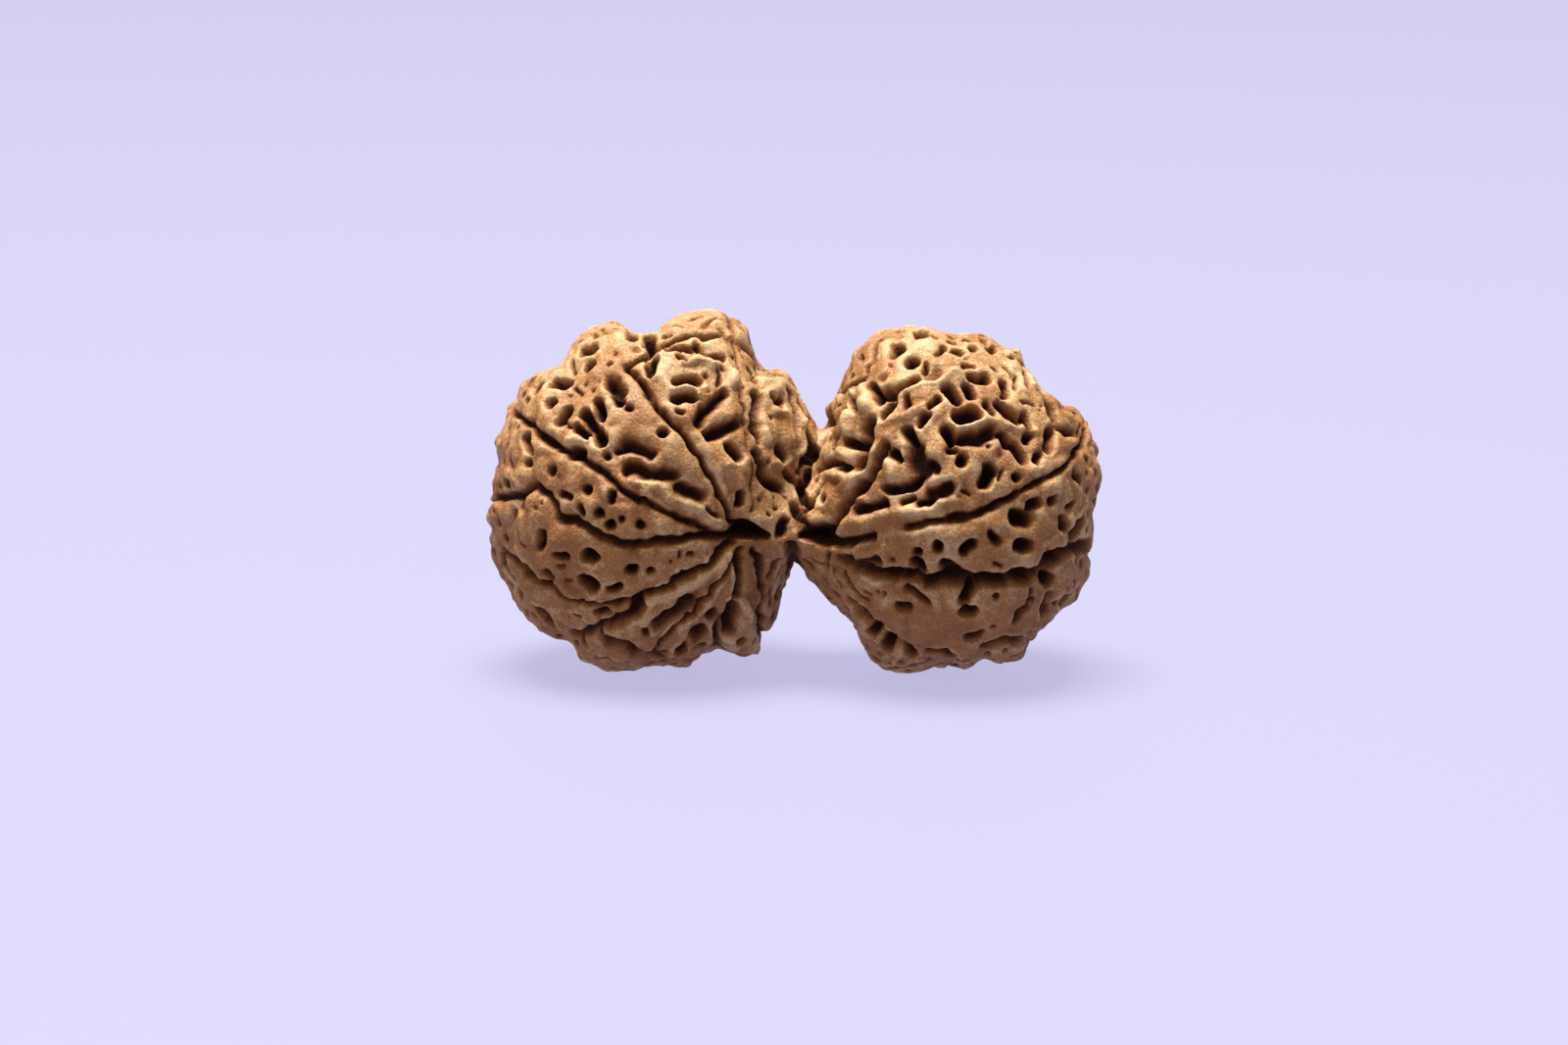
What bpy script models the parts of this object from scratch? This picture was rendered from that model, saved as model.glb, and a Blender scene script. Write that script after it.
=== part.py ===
"""Twin rudraksha seed: two furrowed, pitted beads grown together along a short web.

Metres, +Z up. The pair lies along X, the pole holes of both beads open towards -Y and +Y,
and the origin is on the ground under the middle of the pair.
"""

from math import acos, ceil, cos, pi, radians, sin

import bmesh
import bpy
import numpy as np

MM = 0.001

# Driving sizes of the pair
PAIR_WIDTH = 38.0 * MM
LEFT_SEMI = np.array([9.5, 10.2, 11.0]) * MM
RIGHT_SEMI = np.array([9.2, 9.9, 10.5]) * MM
WEB_SEMI = np.array([5.0, 6.0, 2.1]) * MM
WEB_SQUARENESS = 3
WEB_BLEND = 0.6 * MM
PAIR_DEPTH = -0.18 * MM

# The front view: where it is seen from, and the size of one view unit on the seed.
# A place in this view is (across, down) in view units.
VIEW_SPAN = 631.0
UNIT = PAIR_WIDTH / VIEW_SPAN
VIEW_DISTANCE = 10.0 * PAIR_WIDTH
VIEW_ELEVATION = radians(10.3)
VIEW_AZIMUTH = radians(5.0)
VIEW_CENTRE = np.array([800.0, 533.0])
VIEW_AIM = np.array([-0.63, -0.53, 9.1]) * MM
LEFT_MIDDLE = (656, 505)
RIGHT_MIDDLE = (975, 507)
WEB_MIDDLE = (811, 526)

# The right bead bulges a little underneath, so that both beads stand on the ground
FOOT_LEAN = np.array([-0.1, 0.2, -1.0])
FOOT_WAY = FOOT_LEAN / np.linalg.norm(FOOT_LEAN)
FOOT_REACH = 0.30
LEFT_FOOT = 0.0
RIGHT_FOOT = 0.5 * MM

RIGHTWARD = np.array([cos(VIEW_AZIMUTH), sin(VIEW_AZIMUTH), 0.0])
TOWARD = np.array(
    [
        sin(VIEW_AZIMUTH) * cos(VIEW_ELEVATION),
        -cos(VIEW_AZIMUTH) * cos(VIEW_ELEVATION),
        sin(VIEW_ELEVATION),
    ]
)
UPWARD = np.cross(TOWARD, RIGHTWARD)
EYE = VIEW_AIM + VIEW_DISTANCE * TOWARD

# Mesh fineness
GUIDE_SUBDIVISIONS = 4
WEB_GUIDE_SEMI = 1.2 * WEB_SEMI
SKIN_VOXEL = 0.30 * MM
SEARCH_VOXEL = 0.50 * MM
MOST_FACES = 11600
SLOPE_STEP = 0.02 * MM
NORMAL_STEP = 0.4 * MM
LEAST_STEEPNESS = 0.3
CAST_START = VIEW_DISTANCE - 14 * MM
CAST_END = VIEW_DISTANCE + 8 * MM
CAST_STEP = 0.3 * MM
LONGEST_RUN = 8.0

# How the outline of each bead carries over to the rest of it: broad lobes reach far
# round the bead, fine knobs stay close to the outline.
OUTLINE_STEPS = 360
LOBE_WIDTH = 14
KNOB_WIDTH = 0.8
LOBE_REACH = 0.8
KNOB_REACH = 0.38

# Hollows: depth at the edge, width of the steep rim, and depth of the soft shoulder
VALLEY = (0.75 * MM, 0.75 * MM, 0.30 * MM)
FURROW = (0.60 * MM, 0.45 * MM, 0.25 * MM)
PIT = (0.50 * MM, 0.32 * MM, 0.08 * MM)
CAVE = (0.65 * MM, 0.34 * MM, 0.14 * MM)
CRACK = (0.45 * MM, 0.30 * MM, 0.12 * MM)
DENT = (0.22 * MM, 0.40 * MM, 0.05 * MM)
SHOULDER = 1.3 * MM
JOINING = 7.0 / MM
DEEPEST = 1.6 * MM
LIMB_FADE = 0.55
LIMB_BAND = 0.3

# Rolling of the crests, as (height, wavelength)
SWELLS = ((0.16 * MM, 3.1 * MM), (0.09 * MM, 1.3 * MM))
WANDER = 0.12 * MM
WANDER_LENGTH = 1.3 * MM
SWELL_SEED = 11
WANDER_SEED = 21
LATTICE = 32

LEFT_OUTLINE = [
    (834, 446), (825, 423), (818, 405), (812, 387), (806, 382), (792, 374), (778, 382), (772, 368),
    (766, 350), (761, 332), (757, 326), (747, 321), (730, 314), (710, 313), (700, 315), (690, 320),
    (677, 330), (670, 343), (656, 340), (645, 340), (636, 330), (620, 326), (607, 330), (592, 339),
    (584, 350), (579, 365), (575, 374), (555, 376), (546, 379), (534, 387), (531, 392), (529, 401),
    (519, 415), (516, 432), (507, 445), (505, 452), (511, 472), (502, 490), (505, 500), (495, 520),
    (495, 528), (501, 540), (498, 552), (502, 568), (506, 579), (514, 599), (526, 620), (540, 633),
    (549, 644), (565, 649), (580, 652), (590, 671), (603, 677), (618, 684), (636, 690), (661, 687),
    (668, 681), (709, 679), (718, 670), (732, 661), (750, 668), (762, 670), (772, 667), (777, 650),
    (791, 638), (797, 613), (804, 592), (808, 576), (816, 540), (824, 500),
]
RIGHT_OUTLINE = [
    (830, 500), (836, 470), (841, 450), (847, 434), (846, 417), (852, 402), (859, 385), (871, 359),
    (883, 346), (902, 335), (932, 330), (952, 336), (970, 343), (985, 342), (995, 340), (1014, 347),
    (1028, 357), (1035, 355), (1041, 357), (1042, 368), (1054, 382), (1057, 391), (1056, 400),
    (1070, 403), (1080, 410), (1092, 412), (1111, 427), (1113, 442), (1122, 466), (1127, 477),
    (1127, 490), (1118, 504), (1112, 523), (1114, 541), (1111, 554), (1114, 572), (1111, 590),
    (1102, 601), (1098, 612), (1084, 620), (1065, 638), (1052, 653), (1048, 662), (1041, 671),
    (1021, 679), (1004, 673), (983, 683), (956, 678), (937, 685), (912, 682), (897, 678), (889, 674),
    (880, 660), (870, 641), (864, 630), (850, 616), (837, 605), (830, 593), (820, 584), (812, 560),
    (816, 530),
]

# Strokes on the front, each (kind, radius in view units, places)
LEFT_FURROWS = [
    (CRACK, 1.2, [(768, 520), (766, 495), (765, 480), (762, 445), (758, 425), (757, 397), (752, 365),
                  (745, 322)]),
    (FURROW, 1.8, [(750, 535), (744, 527), (740, 515), (730, 495), (715, 470), (698, 445), (683, 430),
                   (669, 410), (655, 388), (640, 375)]),
    (FURROW, 2.4, [(750, 545), (740, 548), (720, 538), (700, 530), (683, 521), (660, 513), (632, 497),
                   (620, 485), (598, 472), (583, 463), (566, 455), (550, 443), (531, 427), (519, 418)]),
    (FURROW, 2.8, [(748, 548), (715, 545), (690, 552), (670, 551), (645, 557), (612, 548), (598, 538),
                   (585, 530), (570, 529), (562, 510), (544, 494), (530, 505), (503, 508)]),
    (FURROW, 2.8, [(750, 552), (738, 560), (725, 577), (708, 586), (695, 590), (685, 599), (665, 606),
                   (645, 614), (622, 619), (600, 617), (578, 613), (566, 602), (555, 597), (540, 592),
                   (525, 575), (511, 560)]),
    (FURROW, 2.4, [(757, 560), (742, 584), (733, 595), (720, 610), (708, 625), (690, 642), (675, 657),
                   (663, 669)]),
    (FURROW, 3.0, [(756, 560), (754, 585), (752, 605), (744, 622), (737, 640), (733, 661)]),
    (FURROW, 2.5, [(768, 560), (775, 575), (779, 590), (780, 605), (777, 622), (776, 635), (777, 651)]),
]
LEFT_VALLEYS = [
    (CAVE, 5.0, [(655, 620), (645, 630), (632, 633)]),
    (VALLEY, 4.0, [(640, 632), (620, 640), (600, 646), (586, 650)]),
    (CAVE, 4.0, [(700, 588), (690, 594)]),
    (CAVE, 6.5, [(590, 463), (584, 463)]),
    (VALLEY, 5.0, [(643, 478), (660, 483), (688, 484)]),
    (VALLEY, 4.5, [(695, 498), (713, 507)]),
    (CAVE, 5.0, [(745, 457), (754, 467)]),
    (VALLEY, 8.0, [(712, 645), (715, 651)]),
    (CAVE, 7.0, [(749, 622), (748, 645)]),
    (FURROW, 3.5, [(755, 568), (755, 608)]),
    (CAVE, 3.0, [(524, 572), (533, 580), (541, 588), (547, 594)]),
    (CAVE, 3.0, [(512, 574), (517, 582), (523, 590)]),
    (VALLEY, 3.5, [(773, 462), (776, 478), (784, 491), (795, 498)]),
    (CAVE, 5.5, [(549, 621), (557, 628), (561, 637)]),
    (VALLEY, 3.5, [(738, 401), (725, 413), (717, 425), (714, 431)]),
    (VALLEY, 4.0, [(752, 432), (740, 437), (724, 443)]),
    (VALLEY, 3.5, [(774, 405), (773, 420), (770, 437)]),
    (CAVE, 5.0, [(683, 353), (704, 356)]),
    (CAVE, 4.5, [(690, 390), (709, 389)]),
    (CAVE, 4.5, [(690, 407), (707, 405)]),
    (VALLEY, 6.0, [(624, 388), (632, 400)]),
    (CAVE, 5.0, [(629, 404), (633, 409)]),
    (CAVE, 5.0, [(608, 438), (612, 449)]),
    (VALLEY, 4.5, [(640, 453), (663, 462)]),
    (VALLEY, 7.0, [(672, 638), (690, 628), (705, 614)]),
    (VALLEY, 6.0, [(620, 657), (640, 662), (650, 668)]),
    (VALLEY, 4.0, [(806, 402), (811, 420), (811, 440), (813, 455)]),
    (VALLEY, 4.0, [(826, 445), (828, 458), (824, 468)]),
]
LEFT_PITS = [
    (CAVE, 6.0, [(595, 356), (597, 359)]),
    (CAVE, 5.0, [(603, 357), (603, 360)]),
    (CAVE, 5.0, [(601, 372)]),
    (CAVE, 5.0, [(564, 390), (576, 391)]),
    (CAVE, 5.5, [(547, 396)]),
    (PIT, 4.0, [(535, 405)]),
    (CAVE, 5.5, [(562, 411)]),
    (CAVE, 4.5, [(578, 417), (571, 429)]),
    (CAVE, 4.5, [(597, 423), (603, 431)]),
    (CAVE, 4.5, [(610, 410), (613, 423)]),
    (PIT, 3.5, [(641, 416)]),
    (CAVE, 4.0, [(588, 437), (597, 442)]),
    (CAVE, 4.5, [(663, 346), (667, 358)]),
    (CAVE, 3.5, [(668, 366), (665, 374), (666, 383)]),
    (PIT, 3.0, [(693, 361), (698, 367)]),
    (CAVE, 4.5, [(714, 351), (717, 357)]),
    (CAVE, 3.5, [(722, 344), (728, 344)]),
    (PIT, 3.5, [(722, 361), (737, 365)]),
    (PIT, 4.5, [(789, 405), (793, 413)]),
    (PIT, 3.0, [(797, 408)]),
    (PIT, 4.0, [(773, 440), (775, 447)]),
    (PIT, 4.5, [(537, 448), (542, 461)]),
    (CAVE, 3.0, [(549, 442), (565, 455)]),
    (PIT, 3.5, [(540, 473)]),
    (PIT, 5.0, [(562, 480)]),
    (PIT, 3.5, [(573, 505), (580, 508)]),
    (CAVE, 4.0, [(600, 500)]),
    (PIT, 3.0, [(624, 504), (625, 513)]),
    (CAVE, 4.0, [(611, 524)]),
    (CAVE, 4.0, [(621, 536)]),
    (PIT, 4.5, [(526, 525)]),
    (PIT, 4.0, [(512, 491), (518, 493)]),
    (CAVE, 5.0, [(554, 546), (551, 556)]),
    (PIT, 4.0, [(567, 567), (576, 567)]),
    (CAVE, 6.0, [(599, 569), (604, 570)]),
    (PIT, 3.0, [(638, 482), (648, 477)]),
    (CAVE, 4.0, [(677, 441)]),
    (PIT, 3.5, [(656, 511), (668, 516)]),
    (PIT, 3.5, [(655, 535)]),
    (CAVE, 4.0, [(754, 506), (754, 512)]),
    (CAVE, 5.0, [(796, 459), (800, 467)]),
    (PIT, 3.5, [(803, 483), (812, 490)]),
    (PIT, 4.0, [(557, 586), (562, 592)]),
    (CAVE, 6.0, [(597, 592), (604, 596)]),
    (CAVE, 3.5, [(623, 601), (632, 600)]),
    (CAVE, 4.0, [(642, 581), (645, 581)]),
    (CAVE, 3.5, [(529, 604), (530, 609)]),
    (PIT, 4.0, [(588, 630)]),
    (CAVE, 3.5, [(608, 629), (619, 626)]),
    (PIT, 3.5, [(590, 653), (594, 659)]),
    (CAVE, 3.0, [(612, 650), (622, 655)]),
    (CAVE, 6.0, [(632, 656), (640, 663)]),
    (PIT, 3.5, [(610, 671), (625, 675)]),
    (CAVE, 6.0, [(652, 613), (650, 619)]),
    (DENT, 6.0, [(697, 612), (712, 609)]),
    (CAVE, 6.0, [(727, 626), (729, 630)]),
    (CAVE, 5.0, [(696, 661), (696, 667)]),
    (CAVE, 3.5, [(711, 661), (720, 662)]),
    (CAVE, 3.0, [(778, 630), (780, 635)]),
    (CAVE, 3.5, [(774, 576), (778, 590), (780, 602)]),
    (CAVE, 3.5, [(795, 588), (790, 600), (788, 612)]),
]
WEB_PITS = [
    (PIT, 4.0, [(799, 532), (797, 545)]),
    (PIT, 4.0, [(808, 557)]),
]
RIGHT_FURROWS = [
    (CRACK, 1.8, [(897, 346), (893, 353), (890, 362), (889, 369), (884, 376), (881, 386)]),
    (FURROW, 2.0, [(861, 418), (857, 433), (855, 444), (850, 452), (849, 462), (848, 470)]),
    (CAVE, 3.0, [(842, 480), (839, 491), (835, 501), (828, 511), (822, 517)]),
    (VALLEY, 3.5, [(903, 455), (896, 468), (890, 482), (886, 492), (878, 500), (868, 509), (862, 519),
                   (853, 530), (846, 540)]),
    (FURROW, 3.0, [(853, 556), (870, 552), (889, 548)]),
    (FURROW, 1.6, [(925, 537), (942, 535), (960, 532), (980, 529), (995, 526), (1010, 521), (1022, 514),
                   (1034, 507), (1047, 499), (1062, 491), (1077, 483), (1090, 475), (1097, 468),
                   (1103, 459), (1110, 451)]),
    (VALLEY, 4.0, [(862, 572), (869, 577), (878, 582), (892, 585), (912, 588), (928, 590), (945, 594),
                   (965, 592), (985, 591), (1005, 592), (1025, 592), (1045, 590), (1060, 583),
                   (1075, 570), (1092, 562), (1112, 556)]),
    (FURROW, 2.0, [(866, 612), (880, 624), (893, 636), (905, 650), (915, 658), (926, 657), (936, 668),
                   (950, 674)]),
]
RIGHT_VALLEYS = [
    (FURROW, 3.2, [(970, 531), (985, 528), (1000, 524), (1015, 518), (1030, 510), (1040, 503)]),
    (CAVE, 3.5, [(867, 405), (872, 412), (876, 417)]),
    (CAVE, 3.5, [(886, 393), (891, 401), (896, 409)]),
    (CAVE, 3.5, [(863, 450), (873, 454), (885, 453)]),
    (CAVE, 3.0, [(850, 471), (859, 476), (866, 479)]),
    (VALLEY, 4.5, [(884, 432), (884, 446), (881, 462), (877, 474)]),
    (VALLEY, 5.0, [(896, 403), (910, 400)]),
    (CAVE, 5.0, [(917, 397), (926, 393), (933, 388)]),
    (CAVE, 5.5, [(926, 440), (929, 448)]),
    (VALLEY, 8.0, [(932, 458), (936, 472), (942, 480)]),
    (CAVE, 6.0, [(945, 474), (954, 477)]),
    (CAVE, 4.5, [(938, 488), (930, 496), (915, 499), (905, 499)]),
    (CAVE, 4.0, [(910, 462), (916, 467)]),
    (CAVE, 6.0, [(966, 438), (972, 447)]),
    (CAVE, 8.5, [(982, 422), (992, 422)]),
    (CAVE, 5.5, [(1023, 413), (1030, 422), (1036, 427)]),
    (VALLEY, 6.0, [(984, 446), (1000, 446), (1012, 440)]),
    (CAVE, 5.0, [(966, 394), (971, 401), (974, 407)]),
    (CAVE, 4.5, [(1036, 456), (1041, 463), (1044, 468)]),
    (CAVE, 6.5, [(1011, 480), (1006, 491)]),
    (CAVE, 7.5, [(1038, 528), (1047, 530)]),
    (CAVE, 4.5, [(874, 519), (886, 518), (899, 514)]),
    (VALLEY, 4.0, [(950, 503), (962, 500), (972, 496)]),
    (CAVE, 3.5, [(938, 514), (947, 512), (953, 508)]),
    (CAVE, 6.0, [(1039, 556), (1047, 557)]),
    (CAVE, 6.5, [(1068, 571), (1084, 567)]),
    (CAVE, 6.5, [(1067, 589), (1073, 594)]),
    (CAVE, 6.5, [(966, 576), (974, 584)]),
    (CAVE, 5.0, [(934, 573), (938, 583)]),
    (CAVE, 5.0, [(880, 584), (895, 586), (915, 587), (930, 590)]),
    (CAVE, 6.0, [(945, 595), (965, 590), (985, 590), (1000, 595)]),
    (CAVE, 6.5, [(1005, 592), (1020, 594), (1035, 588), (1050, 588)]),
    (CAVE, 5.5, [(990, 600), (985, 611)]),
    (FURROW, 3.5, [(926, 602), (936, 607), (945, 614)]),
    (CAVE, 5.5, [(984, 623), (993, 626)]),
    (CAVE, 5.5, [(1046, 623), (1039, 632)]),
    (CAVE, 4.5, [(886, 650), (896, 641)]),
    (CAVE, 6.0, [(906, 654), (903, 664)]),
    (CAVE, 4.5, [(926, 660), (930, 669)]),
    (CAVE, 4.5, [(951, 664), (963, 664), (970, 668)]),
    (CAVE, 5.0, [(1006, 661), (1014, 656)]),
    (VALLEY, 4.5, [(1024, 653), (1038, 653)]),
    (CAVE, 6.0, [(1087, 611), (1093, 606)]),
    (VALLEY, 3.5, [(1070, 417), (1075, 425), (1081, 434)]),
    (CAVE, 4.0, [(1088, 440), (1099, 441)]),
    (VALLEY, 5.0, [(1105, 534), (1098, 542), (1094, 550)]),
    (VALLEY, 4.5, [(1070, 610), (1066, 624)]),
    (VALLEY, 4.5, [(866, 615), (878, 626), (888, 634)]),
]
RIGHT_PITS = [
    (CAVE, 6.0, [(937, 335), (940, 341)]),
    (CAVE, 6.0, [(916, 351), (914, 359)]),
    (CAVE, 8.0, [(929, 368)]),
    (CAVE, 7.0, [(978, 357)]),
    (PIT, 5.0, [(992, 355)]),
    (PIT, 3.0, [(1010, 359), (1015, 355)]),
    (CAVE, 5.0, [(993, 383), (1006, 385)]),
    (PIT, 3.5, [(1016, 376)]),
    (CAVE, 5.0, [(988, 395), (991, 401)]),
    (CAVE, 4.0, [(1026, 390), (1028, 398)]),
    (CAVE, 3.5, [(1027, 401)]),
    (DENT, 5.0, [(946, 383), (957, 379)]),
    (PIT, 3.0, [(925, 407), (927, 414)]),
    (CAVE, 4.5, [(908, 410), (904, 418), (902, 424)]),
    (PIT, 4.0, [(1046, 424), (1049, 433)]),
    (CAVE, 4.5, [(1024, 444), (1028, 452)]),
    (CAVE, 4.0, [(1050, 442), (1048, 447)]),
    (CAVE, 5.0, [(1074, 440), (1071, 455)]),
    (CAVE, 4.0, [(1061, 463), (1060, 469)]),
    (CAVE, 4.0, [(984, 465), (982, 471)]),
    (CAVE, 3.0, [(946, 423), (939, 432)]),
    (CAVE, 3.5, [(1013, 419), (1008, 412)]),
    (CAVE, 3.5, [(1040, 486)]),
    (CAVE, 4.0, [(1052, 517), (1060, 515)]),
    (CAVE, 4.5, [(1085, 531), (1086, 539)]),
    (PIT, 4.0, [(1012, 547), (1018, 552)]),
    (CAVE, 4.5, [(993, 556), (987, 561)]),
    (CAVE, 4.5, [(1100, 484), (1104, 492)]),
    (CAVE, 3.8, [(936, 562)]),
    (CAVE, 5.0, [(957, 557)]),
    (PIT, 4.0, [(876, 575), (885, 575), (894, 573)]),
    (CAVE, 4.5, [(917, 622), (925, 621)]),
    (PIT, 3.5, [(1051, 612)]),
    (PIT, 7.0, [(990, 648), (997, 646)]),
    (CAVE, 3.0, [(1096, 462), (1105, 457)]),
    (PIT, 4.5, [(982, 674), (997, 675)]),
]
LEFT_TRACED = LEFT_FURROWS + LEFT_VALLEYS + LEFT_PITS
RIGHT_TRACED = RIGHT_FURROWS + RIGHT_VALLEYS + RIGHT_PITS
LEFT_POLE = (765, 545)
RIGHT_POLE = (838, 550)
LEFT_HOLE = [(755, 540), (782, 547)]
RIGHT_HOLE = [(843, 549), (818, 547)]
HOLE_RADIUS = 0.72 * MM
HOLE_TAPER = 0.62
HOLE_STEPS = 9
HOLE_RIM = 0.45 * MM
HOLE_DEPTH = 3.2 * MM

# The hollows that nobody traced, sown over the back, the sides, the top and the underside
SEED = 7
SOWN_TRIES = 9000
SOWN_SPACING = 1.55 * MM
SOWN_LIMIT = 0.15
SOWN_VALLEY_SHARE = 0.45
SOWN_RADIUS = (0.20 * MM, 0.42 * MM)
SOWN_VALLEY_LENGTH = (1.0 * MM, 3.2 * MM)
SOWN_PIT_LENGTH = 1.0 * MM
SOWN_BEND = 0.5
SHORTEST_STROKE = 0.4 * MM

# The furrows' way round to the back: points on it, and its sway as (height, waves in radians)
BACK_STEPS = 14
BACK_SWAYS = ((0.05, 9.0), (0.03, 21.0))
BACK_RADIUS = 2.5
LIMB_DISTANCE = 7.0 * MM

COLOUR = (0.42, 0.24, 0.11, 1.0)
ROUGHNESS = 0.55


def clear_scene():
    for item in list(bpy.data.objects):
        bpy.data.objects.remove(item, do_unlink=True)


def view_rays(places):
    """Directions from the eye through places of the front view."""
    offset = (np.atleast_2d(np.array(places, float)) - VIEW_CENTRE) * UNIT / VIEW_DISTANCE
    return -TOWARD + np.outer(offset[:, 0], RIGHTWARD) - np.outer(offset[:, 1], UPWARD)


def seen_at_depth(place, depth):
    """The point with this Y that the front view shows at a place."""
    ray = view_rays(place)[0]
    return EYE + ray * (depth - EYE[1]) / ray[1]


def blurred_ring(values, width):
    """Values at even steps round a circle, blurred over this many steps."""
    count = len(values)
    steps = np.minimum(np.arange(count), count - np.arange(count))
    kernel = np.exp(-0.5 * (steps / width) ** 2)
    kernel /= kernel.sum()
    return np.real(np.fft.ifft(np.fft.fft(values) * np.fft.fft(kernel)))


class Bead:
    """An ellipsoid whose radius follows the traced outline near the limb of the front view."""

    angles = (np.arange(OUTLINE_STEPS) / OUTLINE_STEPS - 0.5) * 2 * pi

    def __init__(self, middle, semi, outline, foot):
        self.centre = seen_at_depth(middle, PAIR_DEPTH)
        self.semi = semi
        self.foot = foot
        edge = (np.array(outline, float) - middle) * UNIT
        turn = np.arctan2(-edge[:, 1], edge[:, 0])
        order = np.argsort(turn)
        reach = np.hypot(edge[:, 0], edge[:, 1])
        traced = np.interp(self.angles, turn[order], reach[order], period=2 * pi)
        around = np.outer(np.cos(self.angles), RIGHTWARD) + np.outer(np.sin(self.angles), UPWARD)
        share = blurred_ring(traced * np.linalg.norm(around / semi, axis=1), KNOB_WIDTH)
        lobes = blurred_ring(share, LOBE_WIDTH)
        self.lobes = lobes - 1
        self.knobs = share - lobes

    def radius(self, way, knobs):
        """Radius in these unit directions, with the fine knobs scaled by a factor."""
        turn = np.arctan2(way @ UPWARD, way @ RIGHTWARD)
        facing = way @ TOWARD
        lobe = np.interp(turn, self.angles, self.lobes, period=2 * pi)
        knob = np.interp(turn, self.angles, self.knobs, period=2 * pi)
        swell = lobe * np.exp(-((facing / LOBE_REACH) ** 2))
        swell += knobs * knob * np.exp(-((facing / KNOB_REACH) ** 2))
        foot = self.foot * np.exp(-(1 - way @ FOOT_WAY) * 2 / FOOT_REACH**2)
        return (1 + swell) / np.linalg.norm(way / self.semi, axis=1) + foot

    def height(self, points, knobs):
        """Height of these points over the bead's skin, measured along its radii."""
        out = points - self.centre
        far = np.maximum(np.linalg.norm(out, axis=1), 1e-9)
        return far - self.radius(out / far[:, None], knobs)


LEFT = Bead(LEFT_MIDDLE, LEFT_SEMI, LEFT_OUTLINE, LEFT_FOOT)
RIGHT = Bead(RIGHT_MIDDLE, RIGHT_SEMI, RIGHT_OUTLINE, RIGHT_FOOT)
WEB_CENTRE = seen_at_depth(WEB_MIDDLE, PAIR_DEPTH)


def height_over_pair(points, knobs=1.0):
    """Height over the smooth skin of both beads and the web, blended where they meet."""
    web = np.linalg.norm((points - WEB_CENTRE) / WEB_SEMI, WEB_SQUARENESS, axis=1) - 1
    heights = [LEFT.height(points, knobs), RIGHT.height(points, knobs), web * WEB_SEMI.min()]
    lowest = np.minimum.reduce(heights)
    return lowest - WEB_BLEND * np.log(sum(np.exp((lowest - height) / WEB_BLEND) for height in heights))


def height_slope(points, knobs=1.0, step=SLOPE_STEP):
    slope = np.empty_like(points)
    for axis in range(3):
        shift = np.zeros(3)
        shift[axis] = step
        rise = height_over_pair(points + shift, knobs) - height_over_pair(points - shift, knobs)
        slope[:, axis] = rise / (2 * step)
    return slope


def onto_skin(points, rounds=6):
    """Points moved along the slope until they lie on the smooth skin."""
    for _ in range(rounds):
        slope = height_slope(points)
        steepness = np.maximum((slope**2).sum(1), LEAST_STEEPNESS)
        move = np.clip(height_over_pair(points) / steepness, -MM, MM)
        points = points - slope * move[:, None]
    return points


def skin_normals(points):
    """Outward directions of the skin without its fine knobs."""
    slope = height_slope(points, 0.0, NORMAL_STEP)
    return slope / np.linalg.norm(slope, axis=1)[:, None]


def cast(places):
    """Where the front view's rays through these places meet the skin, or pass nearest to it."""
    rays = view_rays(places)
    reaches = np.arange(CAST_START, CAST_END, CAST_STEP)
    heights = np.array([height_over_pair(EYE + rays * reach) for reach in reaches])
    inside = heights < 0
    first = np.where(inside.any(0), inside.argmax(0), heights.argmin(0))
    return onto_skin(EYE + rays * reaches[first][:, None])


def split_long_runs(places):
    """The same path of the front view, with no run longer than LONGEST_RUN."""
    path = [places[0]]
    for start, end in zip(places, places[1:]):
        start, end = np.array(start, float), np.array(end, float)
        count = max(1, ceil(np.hypot(*(end - start)) / LONGEST_RUN))
        path += [tuple(start + (end - start) * step / count) for step in range(1, count + 1)]
    return path


def traced_strokes(features):
    return [(kind, radius * UNIT, cast(split_long_runs(places))) for kind, radius, places in features]


def way_round(bead, start, end, turn):
    """A path over the bead's skin between two points, swaying a little to each side."""
    first = (start - bead.centre) / np.linalg.norm(start - bead.centre)
    last = (end - bead.centre) / np.linalg.norm(end - bead.centre)
    angle = acos(np.clip(first @ last, -1, 1))
    side = np.cross(first, last)
    side /= np.linalg.norm(side)
    path = []
    for step in range(BACK_STEPS + 1):
        part = step / BACK_STEPS
        way = (sin((1 - part) * angle) * first + sin(part * angle) * last) / sin(angle)
        drift = sum(height * sin(turn * waves + waves * part) for height, waves in BACK_SWAYS)
        way = way + side * drift * sin(pi * part)
        path.append(bead.centre + way / np.linalg.norm(way) * bead.semi.mean())
    return onto_skin(np.array(path), 12)


def back_strokes(bead, furrows, pole, rng):
    """Each furrow that runs off the front carries on round the bead to its back pole."""
    behind = onto_skin(cast(pole) * [1, -1, 1])[0]
    strokes = []
    for kind, radius, places in furrows:
        start = cast(places[-1])[0]
        sideways = (start - bead.centre) - TOWARD * ((start - bead.centre) @ TOWARD)
        if np.linalg.norm(sideways) < LIMB_DISTANCE:
            continue
        path = way_round(bead, start, behind, rng.uniform(0, 2 * pi))
        strokes.append((kind, max(radius, BACK_RADIUS) * UNIT, path))
    return strokes


def pole_push(points):
    """How far the pole holes push these points along Y: in from the front and in from the back."""
    flat = points * [1, 0, 1]
    push = np.zeros(len(points))
    for mouth in (LEFT_HOLE, RIGHT_HOLE):
        wide, narrow = cast(mouth) * [1, 0, 1]
        for part in np.linspace(0, 1, HOLE_STEPS):
            left = 1 - HOLE_TAPER * part
            away = np.linalg.norm(flat - wide - (narrow - wide) * part, axis=1)
            inside = np.clip((HOLE_RADIUS * left - away) / (HOLE_RIM * left), 0, 1)
            push = np.maximum(push, HOLE_DEPTH * left * inside * inside * (3 - 2 * inside))
    return push * -np.tanh(points[:, 1] / MM)


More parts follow.
